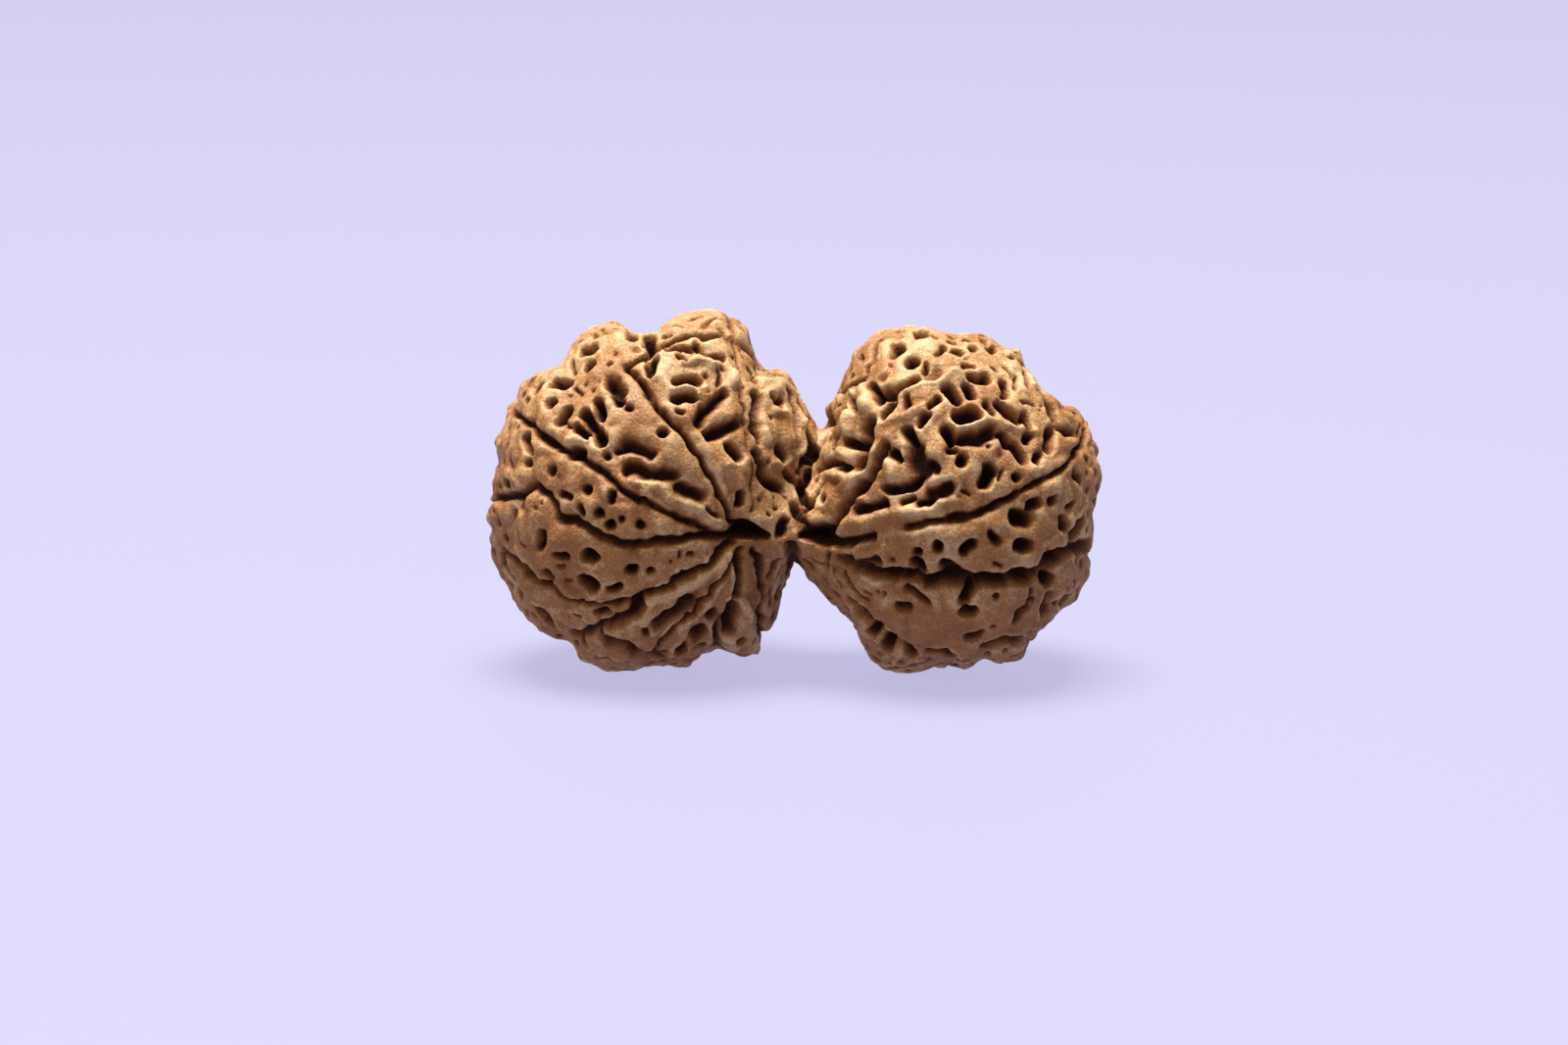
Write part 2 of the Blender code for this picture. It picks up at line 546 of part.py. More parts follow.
def sown_strokes(points, normals, strokes, rng):
    """Seeded pits and short valleys wherever the other strokes leave the far sides bare."""
    taken = np.vstack([path for _, _, path in strokes])
    sown = []
    for index in rng.permutation(len(points))[:SOWN_TRIES]:
        spot, normal = points[index], normals[index]
        if normal @ TOWARD > SOWN_LIMIT or ((taken - spot) ** 2).sum(1).min() < SOWN_SPACING**2:
            continue
        is_valley = rng.uniform() < SOWN_VALLEY_SHARE
        radius = rng.uniform(*SOWN_RADIUS)
        length = rng.uniform(*SOWN_VALLEY_LENGTH) if is_valley else rng.uniform(0, SOWN_PIT_LENGTH)
        along = np.cross(normal, rng.normal(size=3))
        along *= 0.5 * length / np.linalg.norm(along)
        bend = np.cross(normal, along) * rng.uniform(-SOWN_BEND, SOWN_BEND)
        path = spot[None]
        if length > SHORTEST_STROKE:
            path = onto_skin(np.array([spot - along, spot + bend, spot + along]))
        sown.append((VALLEY if is_valley else PIT, radius, path))
        taken = np.vstack([taken, path])
    return sown


def all_strokes():
    rng = np.random.default_rng(SEED)
    strokes = traced_strokes(LEFT_TRACED + WEB_PITS + RIGHT_TRACED)
    strokes += back_strokes(LEFT, LEFT_FURROWS, LEFT_POLE, rng)
    strokes += back_strokes(RIGHT, RIGHT_FURROWS, RIGHT_POLE, rng)
    points = onto_skin(mesh_points(skin_mesh(SEARCH_VOXEL)))
    return strokes + sown_strokes(points, skin_normals(points), strokes, rng)


def distance_to_run(points, start, end):
    run = end - start
    out = points - start
    along = np.clip(out @ run / max(run @ run, 1e-18), 0, 1)
    return np.linalg.norm(out - along[:, None] * run, axis=1)


def hollow_profile(distance, radius, kind):
    """Depth at this distance from a stroke: a bowl, a steep rim and a soft shoulder."""
    edge, rim, soft = kind
    past = distance - radius
    bowl = -edge * (1 + radius / rim * (1 - (distance / radius) ** 2))
    slope = -edge * np.clip(1 - past / rim, 0, 1) ** 2
    shoulder = -soft * np.clip(1 - np.maximum(past, 0) / SHOULDER, 0, 1) ** 2
    return np.where(past < 0, bowl, slope) + shoulder


def carved_depth(points, strokes):
    """Depth of all strokes together, joined without creases."""
    total = np.ones(len(points))
    for kind, radius, path in strokes:
        margin = radius + SHOULDER
        close = ((points > path.min(0) - margin) & (points < path.max(0) + margin)).all(1)
        near = np.nonzero(close)[0]
        if not len(near):
            continue
        runs = list(zip(path, path[1:])) or [(path[0], path[0])]
        distance = np.minimum.reduce([distance_to_run(points[near], start, end) for start, end in runs])
        total[near] += np.exp(-JOINING * hollow_profile(distance, radius, kind)) - 1
    return DEEPEST * np.tanh(-np.log(total) / JOINING / DEEPEST)


def noise(points, wavelength, seed):
    """Smooth noise between -1 and 1 with about this wavelength."""
    table = np.random.default_rng(seed).uniform(-1, 1, (LATTICE,) * 3)
    spot = points / wavelength + 1000 * LATTICE
    low = np.floor(spot).astype(int)
    part = spot - low
    part = part**3 * (part * (part * 6 - 15) + 10)
    total = np.zeros(len(points))
    for corner in np.ndindex(2, 2, 2):
        weight = np.where(corner, part, 1 - part).prod(1)
        total += weight * table[tuple(((low + corner) % LATTICE).T)]
    return total


def relief(points, strokes):
    """How far the real surface lies over the smooth skin at these skin points."""
    wander = WANDER * np.stack([noise(points, WANDER_LENGTH, WANDER_SEED + axis) for axis in range(3)], 1)
    depth = carved_depth(points + wander, strokes)
    facing = skin_normals(points) @ TOWARD
    depth *= 1 - LIMB_FADE * np.exp(-((facing / LIMB_BAND) ** 2))
    for turn, (height, length) in enumerate(SWELLS):
        depth += height * noise(points, length, SWELL_SEED + turn)
    return depth


def mesh_points(mesh):
    flat = np.empty(len(mesh.vertices) * 3)
    mesh.vertices.foreach_get("co", flat)
    return flat.reshape(-1, 3)


def skin_mesh(voxel):
    """One even, closed mesh close to the skin, from three ellipsoids that overlap."""
    shape = bmesh.new()
    guides = ((LEFT.centre, LEFT.semi), (RIGHT.centre, RIGHT.semi), (WEB_CENTRE, WEB_GUIDE_SEMI))
    for centre, semi in guides:
        made = bmesh.ops.create_icosphere(shape, subdivisions=GUIDE_SUBDIVISIONS, radius=1.0)
        for vertex in made["verts"]:
            vertex.co = centre + np.array(vertex.co) * semi
    mesh = bpy.data.meshes.new("skin_guide")
    shape.to_mesh(mesh)
    shape.free()
    guide = bpy.data.objects.new("skin_guide", mesh)
    bpy.context.scene.collection.objects.link(guide)
    remesh = guide.modifiers.new("even_skin", "REMESH")
    remesh.mode = "VOXEL"
    remesh.voxel_size = voxel
    skin = bpy.data.meshes.new_from_object(guide.evaluated_get(bpy.context.evaluated_depsgraph_get()))
    bpy.data.objects.remove(guide)
    bpy.data.meshes.remove(mesh)
    return skin


def seed_mesh():
    """The even skin with its relief."""
    mesh = skin_mesh(SKIN_VOXEL)
    points = onto_skin(mesh_points(mesh))
    raised = points + skin_normals(points) * relief(points, all_strokes())[:, None]
    raised[:, 1] += pole_push(points)
    mesh.vertices.foreach_set("co", raised.ravel())
    mesh.update()
    return mesh


def thin_faces(item):
    """Fewer faces, spent where the relief is."""
    triangles = sum(len(face.vertices) - 2 for face in item.data.polygons)
    decimate = item.modifiers.new("fewer_faces", "DECIMATE")
    decimate.ratio = MOST_FACES / triangles


def ground_cutter(collection):
    """A block under the ground, which gives each bead the small flat that it rests on."""
    shape = bmesh.new()
    bmesh.ops.create_cube(shape, size=2 * PAIR_WIDTH)
    bmesh.ops.translate(shape, verts=shape.verts, vec=(0, 0, -PAIR_WIDTH))
    mesh = bpy.data.meshes.new("ground_cutter")
    shape.to_mesh(mesh)
    shape.free()
    cutter = bpy.data.objects.new("ground_cutter", mesh)
    cutter.hide_render = True
    cutter.display_type = "WIRE"
    collection.objects.link(cutter)
    return cutter


def cut_flats(item, cutter):
    cut = item.modifiers.new("resting_flats", "BOOLEAN")
    cut.operation = "DIFFERENCE"
    cut.solver = "EXACT"
    cut.object = cutter


def seed_material():
    material = bpy.data.materials.new("seed_stone")
    material.use_nodes = True
    shader = material.node_tree.nodes["Principled BSDF"]
    shader.inputs["Base Color"].default_value = COLOUR
    shader.inputs["Roughness"].default_value = ROUGHNESS
    shader.inputs["Metallic"].default_value = 0.0
    return material


def new_collection(name):
    collection = bpy.data.collections.new(name)
    bpy.context.scene.collection.children.link(collection)
    return collection


def main():
    clear_scene()
    parts = new_collection("rudraksha_seed")
    cutters = new_collection("cutters")
    seed = bpy.data.objects.new("rudraksha_seed", seed_mesh())
    parts.objects.link(seed)
    seed.data.materials.append(seed_material())
    seed.data.shade_smooth()
    thin_faces(seed)
    cut_flats(seed, ground_cutter(cutters))


main()
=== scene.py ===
"""The finished look of a twin rudraksha seed: two furrowed, pitted beads grown together.

Metres, +Z up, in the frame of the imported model. One fine piece replaces the solid seed. It has
the solid's own skin, furrows, valleys and pits, worked out by the same formulas, and adds the
small pits, cracks, knobs and grain, and the colour.
"""

from math import acos, ceil, cos, pi, radians, sin

import bmesh
import bpy
import numpy as np
from mathutils import Matrix


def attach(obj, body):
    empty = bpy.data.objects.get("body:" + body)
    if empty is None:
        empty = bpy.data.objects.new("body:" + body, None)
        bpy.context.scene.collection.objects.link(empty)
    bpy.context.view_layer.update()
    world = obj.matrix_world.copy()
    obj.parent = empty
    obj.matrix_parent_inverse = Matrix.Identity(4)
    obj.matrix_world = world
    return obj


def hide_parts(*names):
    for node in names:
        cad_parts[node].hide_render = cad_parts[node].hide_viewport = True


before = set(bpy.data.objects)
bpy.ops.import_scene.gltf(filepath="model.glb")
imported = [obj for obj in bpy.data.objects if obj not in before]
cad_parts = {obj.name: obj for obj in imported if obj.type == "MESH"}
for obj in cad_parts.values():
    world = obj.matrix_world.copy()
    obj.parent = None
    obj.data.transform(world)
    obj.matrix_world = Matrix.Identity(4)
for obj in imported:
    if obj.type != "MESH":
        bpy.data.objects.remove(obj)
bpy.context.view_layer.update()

MM = 0.001

# Driving sizes of the pair
PAIR_WIDTH = 38.0 * MM
LEFT_SEMI = np.array([9.5, 10.2, 11.0]) * MM
RIGHT_SEMI = np.array([9.2, 9.9, 10.5]) * MM
WEB_SEMI = np.array([5.0, 6.0, 2.1]) * MM
WEB_SQUARENESS = 3
WEB_BLEND = 0.6 * MM
PAIR_DEPTH = -0.18 * MM

# The front view: how many view units wide it and the pair in it are, and where it is seen from.
# A place in it is (across, down) in view units.
VIEW_WIDTH = 1600.0
VIEW_SPAN = 631.0
UNIT = PAIR_WIDTH / VIEW_SPAN
VIEW_DISTANCE = 10.0 * PAIR_WIDTH
VIEW_ELEVATION = radians(10.3)
VIEW_AZIMUTH = radians(5.0)
VIEW_CENTRE = np.array([800.0, 533.0])
VIEW_AIM = np.array([-0.63, -0.53, 9.1]) * MM
LEFT_MIDDLE = (656, 505)
RIGHT_MIDDLE = (975, 507)
WEB_MIDDLE = (811, 526)

# The right bead bulges a little underneath, so that both beads stand on the ground
FOOT_LEAN = np.array([-0.1, 0.2, -1.0])
FOOT_WAY = FOOT_LEAN / np.linalg.norm(FOOT_LEAN)
FOOT_REACH = 0.30
LEFT_FOOT = 0.0
RIGHT_FOOT = 0.5 * MM

# Directions of the front view, and the eye
RIGHTWARD = np.array([cos(VIEW_AZIMUTH), sin(VIEW_AZIMUTH), 0.0])
TOWARD = np.array(
    [
        sin(VIEW_AZIMUTH) * cos(VIEW_ELEVATION),
        -cos(VIEW_AZIMUTH) * cos(VIEW_ELEVATION),
        sin(VIEW_ELEVATION),
    ]
)
UPWARD = np.cross(TOWARD, RIGHTWARD)
EYE = VIEW_AIM + VIEW_DISTANCE * TOWARD

# Mesh fineness, and the steps of the search for the skin
GUIDE_SUBDIVISIONS = 4
WEB_GUIDE_SEMI = 1.2 * WEB_SEMI
SKIN_VOXEL = 0.13 * MM
SEARCH_VOXEL = 0.50 * MM
MOST_FACES = 197000
SLOPE_STEP = 0.02 * MM
NORMAL_STEP = 0.4 * MM
LEAST_STEEPNESS = 0.3
SKIN_ROUNDS = 6
BACK_SKIN_ROUNDS = 12
CAST_START = VIEW_DISTANCE - 14 * MM
CAST_END = VIEW_DISTANCE + 8 * MM
CAST_STEP = 0.3 * MM
LONGEST_RUN = 8.0
TINY = 1e-9

# How the outline of each bead carries over to the rest of it: broad lobes reach far
# round the bead, fine knobs stay close to the outline.
OUTLINE_STEPS = 360
LOBE_WIDTH = 14
KNOB_WIDTH = 0.8
LOBE_REACH = 0.8
KNOB_REACH = 0.38

# Hollows: depth at the edge, width of the steep rim, and depth of the soft shoulder
VALLEY = (0.80 * MM, 0.44 * MM, 0.24 * MM)
FURROW = (0.70 * MM, 0.26 * MM, 0.25 * MM)
PIT = (0.62 * MM, 0.22 * MM, 0.12 * MM)
CAVE = (1.05 * MM, 0.26 * MM, 0.18 * MM)
CRACK = (0.40 * MM, 0.14 * MM, 0.10 * MM)
NICK = (0.35 * MM, 0.14 * MM, 0.08 * MM)
DENT = (0.22 * MM, 0.40 * MM, 0.05 * MM)

# The bowl ends inside the stroke's radius by this share of the rim, and keeps this share of the radius
BOWL_INSET = 0.15
LEAST_BOWL = 0.3

# Width of the shoulders, sharpness of the joints between hollows, and where their depth levels out
SHOULDER = 1.0 * MM
JOINING = 7.0 / MM
DEEPEST = 2.3 * MM

# Hollows at the outline of the front view are shallower by this share, in a band this wide
LIMB_FADE = 0.18
LIMB_BAND = 0.3

# What stands up: height, and how round its top is
KNOB = (0.42 * MM, 0.9)
RIDGE = (0.21 * MM, 1.3)
RIM = (0.13 * MM, 1.5)

# Rolling of the crests, as (height, wavelength)
SWELLS = ((0.16 * MM, 3.1 * MM), (0.09 * MM, 1.3 * MM))
SWELL_SEED = 11

# How far the strokes wander, as (distance, wavelength, seed)
WANDER = (0.12 * MM, 1.3 * MM, 21)
FINE_WANDER = (0.09 * MM, 0.50 * MM, 31)

# Rounded lumps with creases between them: height, wavelength, softness of the creases, and seed
PILLOWS = (0.26 * MM, 1.15 * MM, 0.08, 51)

# Finer bumps, as (height on the crests, height in the hollows, wavelength). A hollow of
# HOLLOW_DEPTH has them at their full height.
BUMPS = (
    (0.058 * MM, 0.065 * MM, 0.62 * MM),
    (0.024 * MM, 0.055 * MM, 0.36 * MM),
    (0.010 * MM, 0.035 * MM, 0.22 * MM),
)
BUMP_SEED = 41
HOLLOW_DEPTH = 0.8 * MM

# The noise repeats after this many cells. Its first cell lies far below any point.
LATTICE = 32
FIRST_CELL = -1000 * LATTICE

# A point stands out as far as it is higher than its surroundings, blurred this many times
STAND_ROUNDS = 24

# Tone of the stone, from 0 in the deepest hollows to 1 on the palest crests. It is a sum, and
# each part is a range of a value and the range of tone that it adds. Depth and stand are in mm,
# patches and flecks are noise. Depth darkens the hollows: partly their darker stone, partly painted shade.
# Stand pales what stands out over its surroundings as painted highlight, so low spots stay darker as
# painted shade.
# Height over the ground pales the top as painted top light and darkens the bottom as painted shade.
DEPTH_STONE_AND_SHADE_TONE = ((-1.10, 0.0), (0.0, 0.64))
STAND_HIGHLIGHT_AND_SHADE_TONE = ((-0.22, 0.20), (0.0, 0.34))
PATCH_TONE = ((0.30, 0.70), (-0.12, 0.10))
FLECK_TONE = ((0.35, 0.65), (-0.09, 0.05))
HEIGHT_LIGHT_AND_SHADE_TONE = ((3.0 * MM, 21.0 * MM), (-0.04, 0.06))
TONE_COLOURS = (
    (0.00, (0.040, 0.009, 0.002)),
    (0.20, (0.066, 0.016, 0.003)),
    (0.40, (0.112, 0.030, 0.006)),
    (0.60, (0.182, 0.060, 0.013)),
    (0.80, (0.270, 0.113, 0.029)),
    (1.00, (0.460, 0.300, 0.145)),
)

# What the tone sets in turn: roughness, and strength of the grain
TONE_ROUGHNESS = ((0.25, 0.85), (0.90, 0.55))
TONE_GRAIN = ((0.25, 0.95), (1.0, 0.35))

# Textures, as (scale, detail)
PATCHES = (380.0, 5.0)
FLECKS = (6500.0, 3.0)
GRAIN = (5200.0, 4.0)
GRAIN_HEIGHT = 0.20 * MM
GLOSS = 0.32

# How the shader's nodes are laid out
NODE_COLUMNS = 6
NODE_SPACING = 300

# The stage: a pale matt floor that glows a little, as a light table does, and soft light
FLOOR_SIZE = 3.0
FLOOR_COLOUR = (0.048, 0.046, 0.065, 1.0)
FLOOR_ROUGHNESS = 0.6
GLOW_COLOUR = (0.714, 0.683, 1.0, 1.0)
GLOW_STRENGTH = 0.70
SKY_COLOUR = (0.95, 0.93, 1.0, 1.0)
SKY_STRENGTH = 0.30
LIT_PLACE = (0.0, 0.0, 0.01)

# Directions steeper than this have +Y for their up instead of +Z
STEEP = 0.9

# Lights, as (name, place, size, watts, colour)
LIGHTS = (
    ("top", (-0.06, 0.04, 0.78), 0.46, 20.0, (1.0, 0.98, 0.94)),
    ("front", (-0.30, -0.45, 0.22), 0.25, 0.5, (1.0, 0.90, 0.74)),
)

# The camera's sensor width, in millimetres, and the nearest distance it shows
SENSOR_WIDTH = 36.0
CLIP_START = 0.01

LEFT_OUTLINE = [
    (834, 446), (825, 423), (818, 405), (812, 387), (806, 382), (792, 374), (778, 382), (772, 368),
    (766, 350), (761, 332), (757, 326), (747, 321), (730, 314), (710, 313), (700, 315), (690, 320),
    (677, 330), (670, 343), (656, 340), (645, 340), (636, 330), (620, 326), (607, 330), (592, 339),
    (584, 350), (579, 365), (575, 374), (555, 376), (546, 379), (534, 387), (531, 392), (529, 401),
    (519, 415), (516, 432), (507, 445), (505, 452), (511, 472), (502, 490), (505, 500), (495, 520),
    (495, 528), (501, 540), (498, 552), (502, 568), (506, 579), (514, 599), (526, 620), (540, 633),
    (549, 644), (565, 649), (580, 652), (590, 671), (603, 677), (618, 684), (636, 690), (661, 687),
    (668, 681), (709, 679), (718, 670), (732, 661), (750, 668), (762, 670), (772, 667), (777, 650),
    (791, 638), (797, 613), (804, 592), (808, 576), (816, 540), (824, 500),
]
RIGHT_OUTLINE = [
    (830, 500), (836, 470), (841, 450), (847, 434), (846, 417), (852, 402), (859, 385), (871, 359),
    (883, 346), (902, 335), (932, 330), (952, 336), (970, 343), (985, 342), (995, 340), (1014, 347),
    (1028, 357), (1035, 355), (1041, 357), (1042, 368), (1054, 382), (1057, 391), (1056, 400), (1070, 403),
    (1080, 410), (1092, 412), (1111, 427), (1113, 442), (1122, 466), (1127, 477), (1127, 490), (1118, 504),
    (1112, 523), (1114, 541), (1111, 554), (1114, 572), (1111, 590), (1102, 601), (1098, 612), (1084, 620),
    (1065, 638), (1052, 653), (1048, 662), (1041, 671), (1021, 679), (1004, 673), (983, 683), (956, 678),
    (937, 685), (912, 682), (897, 678), (889, 674), (880, 660), (870, 641), (864, 630), (850, 616),
    (837, 605), (830, 593), (820, 584), (812, 560), (816, 530),
]


def of_kind(kind, *strokes):
    """Strokes of one kind, from (radius, place, place, ...) to (kind, radius, place, place, ...)."""
    return [(kind, *stroke) for stroke in strokes]


# Strokes on the front. Radii and places are in view units.
LEFT_FURROWS = [
    (CRACK, 1.2, (768, 520), (766, 495), (765, 480), (762, 445), (758, 425), (757, 397), (752, 365),
        (745, 322)),
    (FURROW, 1.8, (750, 535), (744, 527), (740, 515), (730, 495), (715, 470), (698, 445), (683, 430),
        (669, 410), (655, 388), (640, 375)),
    (FURROW, 2.4, (750, 545), (740, 548), (720, 538), (700, 530), (683, 521), (660, 513), (632, 497),
        (620, 485), (598, 472), (583, 463), (566, 455), (550, 443), (531, 427), (519, 418)),
    (FURROW, 2.8, (748, 548), (715, 545), (690, 552), (670, 551), (645, 557), (612, 548), (598, 538),
        (585, 530), (570, 529), (562, 510), (544, 494), (530, 505), (503, 508)),
    (FURROW, 2.8, (750, 552), (738, 560), (725, 577), (708, 586), (695, 590), (685, 599), (665, 606),
        (645, 614), (622, 619), (600, 617), (578, 613), (566, 602), (555, 597), (540, 592), (525, 575),
        (511, 560)),
    (FURROW, 2.4, (757, 560), (742, 584), (733, 595), (720, 610), (708, 625), (690, 642), (675, 657),
        (663, 669)),
    (FURROW, 3.0, (756, 560), (754, 585), (752, 605), (744, 622), (737, 640), (733, 661)),
    (FURROW, 2.5, (768, 560), (775, 575), (779, 590), (780, 605), (777, 622), (776, 635), (777, 651)),
]
LEFT_VALLEYS = of_kind(
    CAVE,
    (5.0, (655, 620), (645, 630), (632, 633)), (4.0, (700, 588), (690, 594)), (6.5, (590, 463), (584, 463)),
    (5.0, (745, 457), (754, 467)), (7.0, (749, 622), (748, 645)),
    (3.0, (524, 572), (533, 580), (541, 588), (547, 594)), (3.0, (512, 574), (517, 582), (523, 590)),
    (5.5, (549, 621), (557, 628), (561, 637)), (5.0, (683, 353), (704, 356)), (4.5, (690, 390), (709, 389)),
    (4.5, (690, 407), (707, 405)), (5.0, (629, 404), (633, 409)), (5.0, (608, 438), (612, 449)),
) + of_kind(
    VALLEY,
    (4.0, (640, 632), (620, 640), (600, 646), (586, 650)), (5.0, (643, 478), (660, 483), (688, 484)),
    (4.5, (695, 498), (713, 507)), (8.0, (712, 645), (715, 651)),
    (3.5, (773, 462), (776, 478), (784, 491), (795, 498)),
    (3.5, (738, 401), (725, 413), (717, 425), (714, 431)), (4.0, (752, 432), (740, 437), (724, 443)),
    (3.5, (774, 405), (773, 420), (770, 437)), (6.0, (624, 388), (632, 400)), (4.5, (640, 453), (663, 462)),
    (7.0, (672, 638), (690, 628), (705, 614)), (6.0, (620, 657), (640, 662), (650, 668)),
    (4.0, (806, 402), (811, 420), (811, 440), (813, 455)), (4.0, (826, 445), (828, 458), (824, 468)),
) + of_kind(
    FURROW,
    (3.5, (755, 568), (755, 608)),
)
LEFT_PITS = of_kind(
    CAVE,
    (6.0, (595, 356), (597, 359)), (5.0, (603, 357), (603, 360)), (5.0, (601, 372)),
    (5.0, (564, 390), (576, 391)), (5.5, (547, 396)), (5.5, (562, 411)), (4.5, (578, 417), (571, 429)),
    (4.5, (597, 423), (603, 431)), (4.5, (610, 410), (613, 423)), (4.0, (588, 437), (597, 442)),
    (4.5, (663, 346), (667, 358)), (3.5, (668, 366), (665, 374), (666, 383)), (4.5, (714, 351), (717, 357)),
    (3.5, (722, 344), (728, 344)), (3.0, (549, 442), (565, 455)), (4.0, (600, 500)), (4.0, (611, 524)),
    (4.0, (621, 536)), (5.0, (554, 546), (551, 556)), (6.0, (599, 569), (604, 570)), (4.0, (677, 441)),
    (4.0, (754, 506), (754, 512)), (5.0, (796, 459), (800, 467)), (6.0, (597, 592), (604, 596)),
    (3.5, (623, 601), (632, 600)), (4.0, (642, 581), (645, 581)), (3.5, (529, 604), (530, 609)),
    (3.5, (608, 629), (619, 626)), (3.0, (612, 650), (622, 655)), (6.0, (632, 656), (640, 663)),
    (6.0, (652, 613), (650, 619)), (6.0, (727, 626), (729, 630)), (5.0, (696, 661), (696, 667)),
    (3.5, (711, 661), (720, 662)), (3.0, (778, 630), (780, 635)), (3.5, (774, 576), (778, 590), (780, 602)),
    (3.5, (795, 588), (790, 600), (788, 612)),
) + of_kind(
    PIT,
    (4.0, (535, 405)), (3.5, (641, 416)), (3.0, (693, 361), (698, 367)), (3.5, (722, 361), (737, 365)),
    (4.5, (789, 405), (793, 413)), (3.0, (797, 408)), (4.0, (773, 440), (775, 447)),
    (4.5, (537, 448), (542, 461)), (3.5, (540, 473)), (5.0, (562, 480)), (3.5, (573, 505), (580, 508)),
    (3.0, (624, 504), (625, 513)), (4.5, (526, 525)), (4.0, (512, 491), (518, 493)),
    (4.0, (567, 567), (576, 567)), (3.0, (638, 482), (648, 477)), (3.5, (656, 511), (668, 516)),
    (3.5, (655, 535)), (3.5, (803, 483), (812, 490)), (4.0, (557, 586), (562, 592)), (4.0, (588, 630)),
    (3.5, (590, 653), (594, 659)), (3.5, (610, 671), (625, 675)),
) + of_kind(
    DENT,
    (6.0, (697, 612), (712, 609)),
)
WEB_PITS = of_kind(
    PIT,
    (4.0, (799, 532), (797, 545)), (4.0, (808, 557)),
)
RIGHT_FURROWS = [
    (CRACK, 1.8, (897, 346), (893, 353), (890, 362), (889, 369), (884, 376), (881, 386)),
    (FURROW, 2.0, (861, 418), (857, 433), (855, 444), (850, 452), (849, 462), (848, 470)),
    (CAVE, 3.0, (842, 480), (839, 491), (835, 501), (828, 511), (822, 517)),
    (VALLEY, 3.5, (903, 455), (896, 468), (890, 482), (886, 492), (878, 500), (868, 509), (862, 519),
        (853, 530), (846, 540)),
    (FURROW, 3.0, (853, 556), (870, 552), (889, 548)),
    (FURROW, 1.6, (925, 537), (942, 535), (960, 532), (980, 529), (995, 526), (1010, 521), (1022, 514),
        (1034, 507), (1047, 499), (1062, 491), (1077, 483), (1090, 475), (1097, 468), (1103, 459),
        (1110, 451)),
    (VALLEY, 4.0, (862, 572), (869, 577), (878, 582), (892, 585), (912, 588), (928, 590), (945, 594),
        (965, 592), (985, 591), (1005, 592), (1025, 592), (1045, 590), (1060, 583), (1075, 570),
        (1092, 562), (1112, 556)),
    (FURROW, 2.0, (866, 612), (880, 624), (893, 636), (905, 650), (915, 658), (926, 657), (936, 668),
        (950, 674)),
]
RIGHT_VALLEYS = of_kind(
    FURROW,
    (3.2, (970, 531), (985, 528), (1000, 524), (1015, 518), (1030, 510), (1040, 503)),
    (3.5, (926, 602), (936, 607), (945, 614)),
) + of_kind(
    CAVE,
    (3.5, (867, 405), (872, 412), (876, 417)), (3.5, (886, 393), (891, 401), (896, 409)),
    (3.5, (863, 450), (873, 454), (885, 453)), (3.0, (850, 471), (859, 476), (866, 479)),
    (5.0, (917, 397), (926, 393), (933, 388)), (5.5, (926, 440), (929, 448)), (6.0, (945, 474), (954, 477)),
    (4.5, (938, 488), (930, 496), (915, 499), (905, 499)), (4.0, (910, 462), (916, 467)),
    (6.0, (966, 438), (972, 447)), (8.5, (982, 422), (992, 422)),
    (5.5, (1023, 413), (1030, 422), (1036, 427)), (5.0, (966, 394), (971, 401), (974, 407)),
    (4.5, (1036, 456), (1041, 463), (1044, 468)), (6.5, (1011, 480), (1006, 491)),
    (7.5, (1038, 528), (1047, 530)), (4.5, (874, 519), (886, 518), (899, 514)),
    (3.5, (938, 514), (947, 512), (953, 508)), (6.0, (1039, 556), (1047, 557)),
    (6.5, (1068, 571), (1084, 567)), (6.5, (1067, 589), (1073, 594)), (6.5, (966, 576), (974, 584)),
    (5.0, (934, 573), (938, 583)), (5.0, (880, 584), (895, 586), (915, 587), (930, 590)),
    (6.0, (945, 595), (965, 590), (985, 590), (1000, 595)),
    (6.5, (1005, 592), (1020, 594), (1035, 588), (1050, 588)), (5.5, (990, 600), (985, 611)),
    (5.5, (984, 623), (993, 626)), (5.5, (1046, 623), (1039, 632)), (4.5, (886, 650), (896, 641)),
    (6.0, (906, 654), (903, 664)), (4.5, (926, 660), (930, 669)), (4.5, (951, 664), (963, 664), (970, 668)),
    (5.0, (1006, 661), (1014, 656)), (6.0, (1087, 611), (1093, 606)), (4.0, (1088, 440), (1099, 441)),
) + of_kind(
    VALLEY,
    (4.5, (884, 432), (884, 446), (881, 462), (877, 474)), (5.0, (896, 403), (910, 400)),
    (8.0, (932, 458), (936, 472), (942, 480)), (6.0, (984, 446), (1000, 446), (1012, 440)),
    (4.0, (950, 503), (962, 500), (972, 496)), (4.5, (1024, 653), (1038, 653)),
    (3.5, (1070, 417), (1075, 425), (1081, 434)), (5.0, (1105, 534), (1098, 542), (1094, 550)),
    (4.5, (1070, 610), (1066, 624)), (4.5, (866, 615), (878, 626), (888, 634)),
)
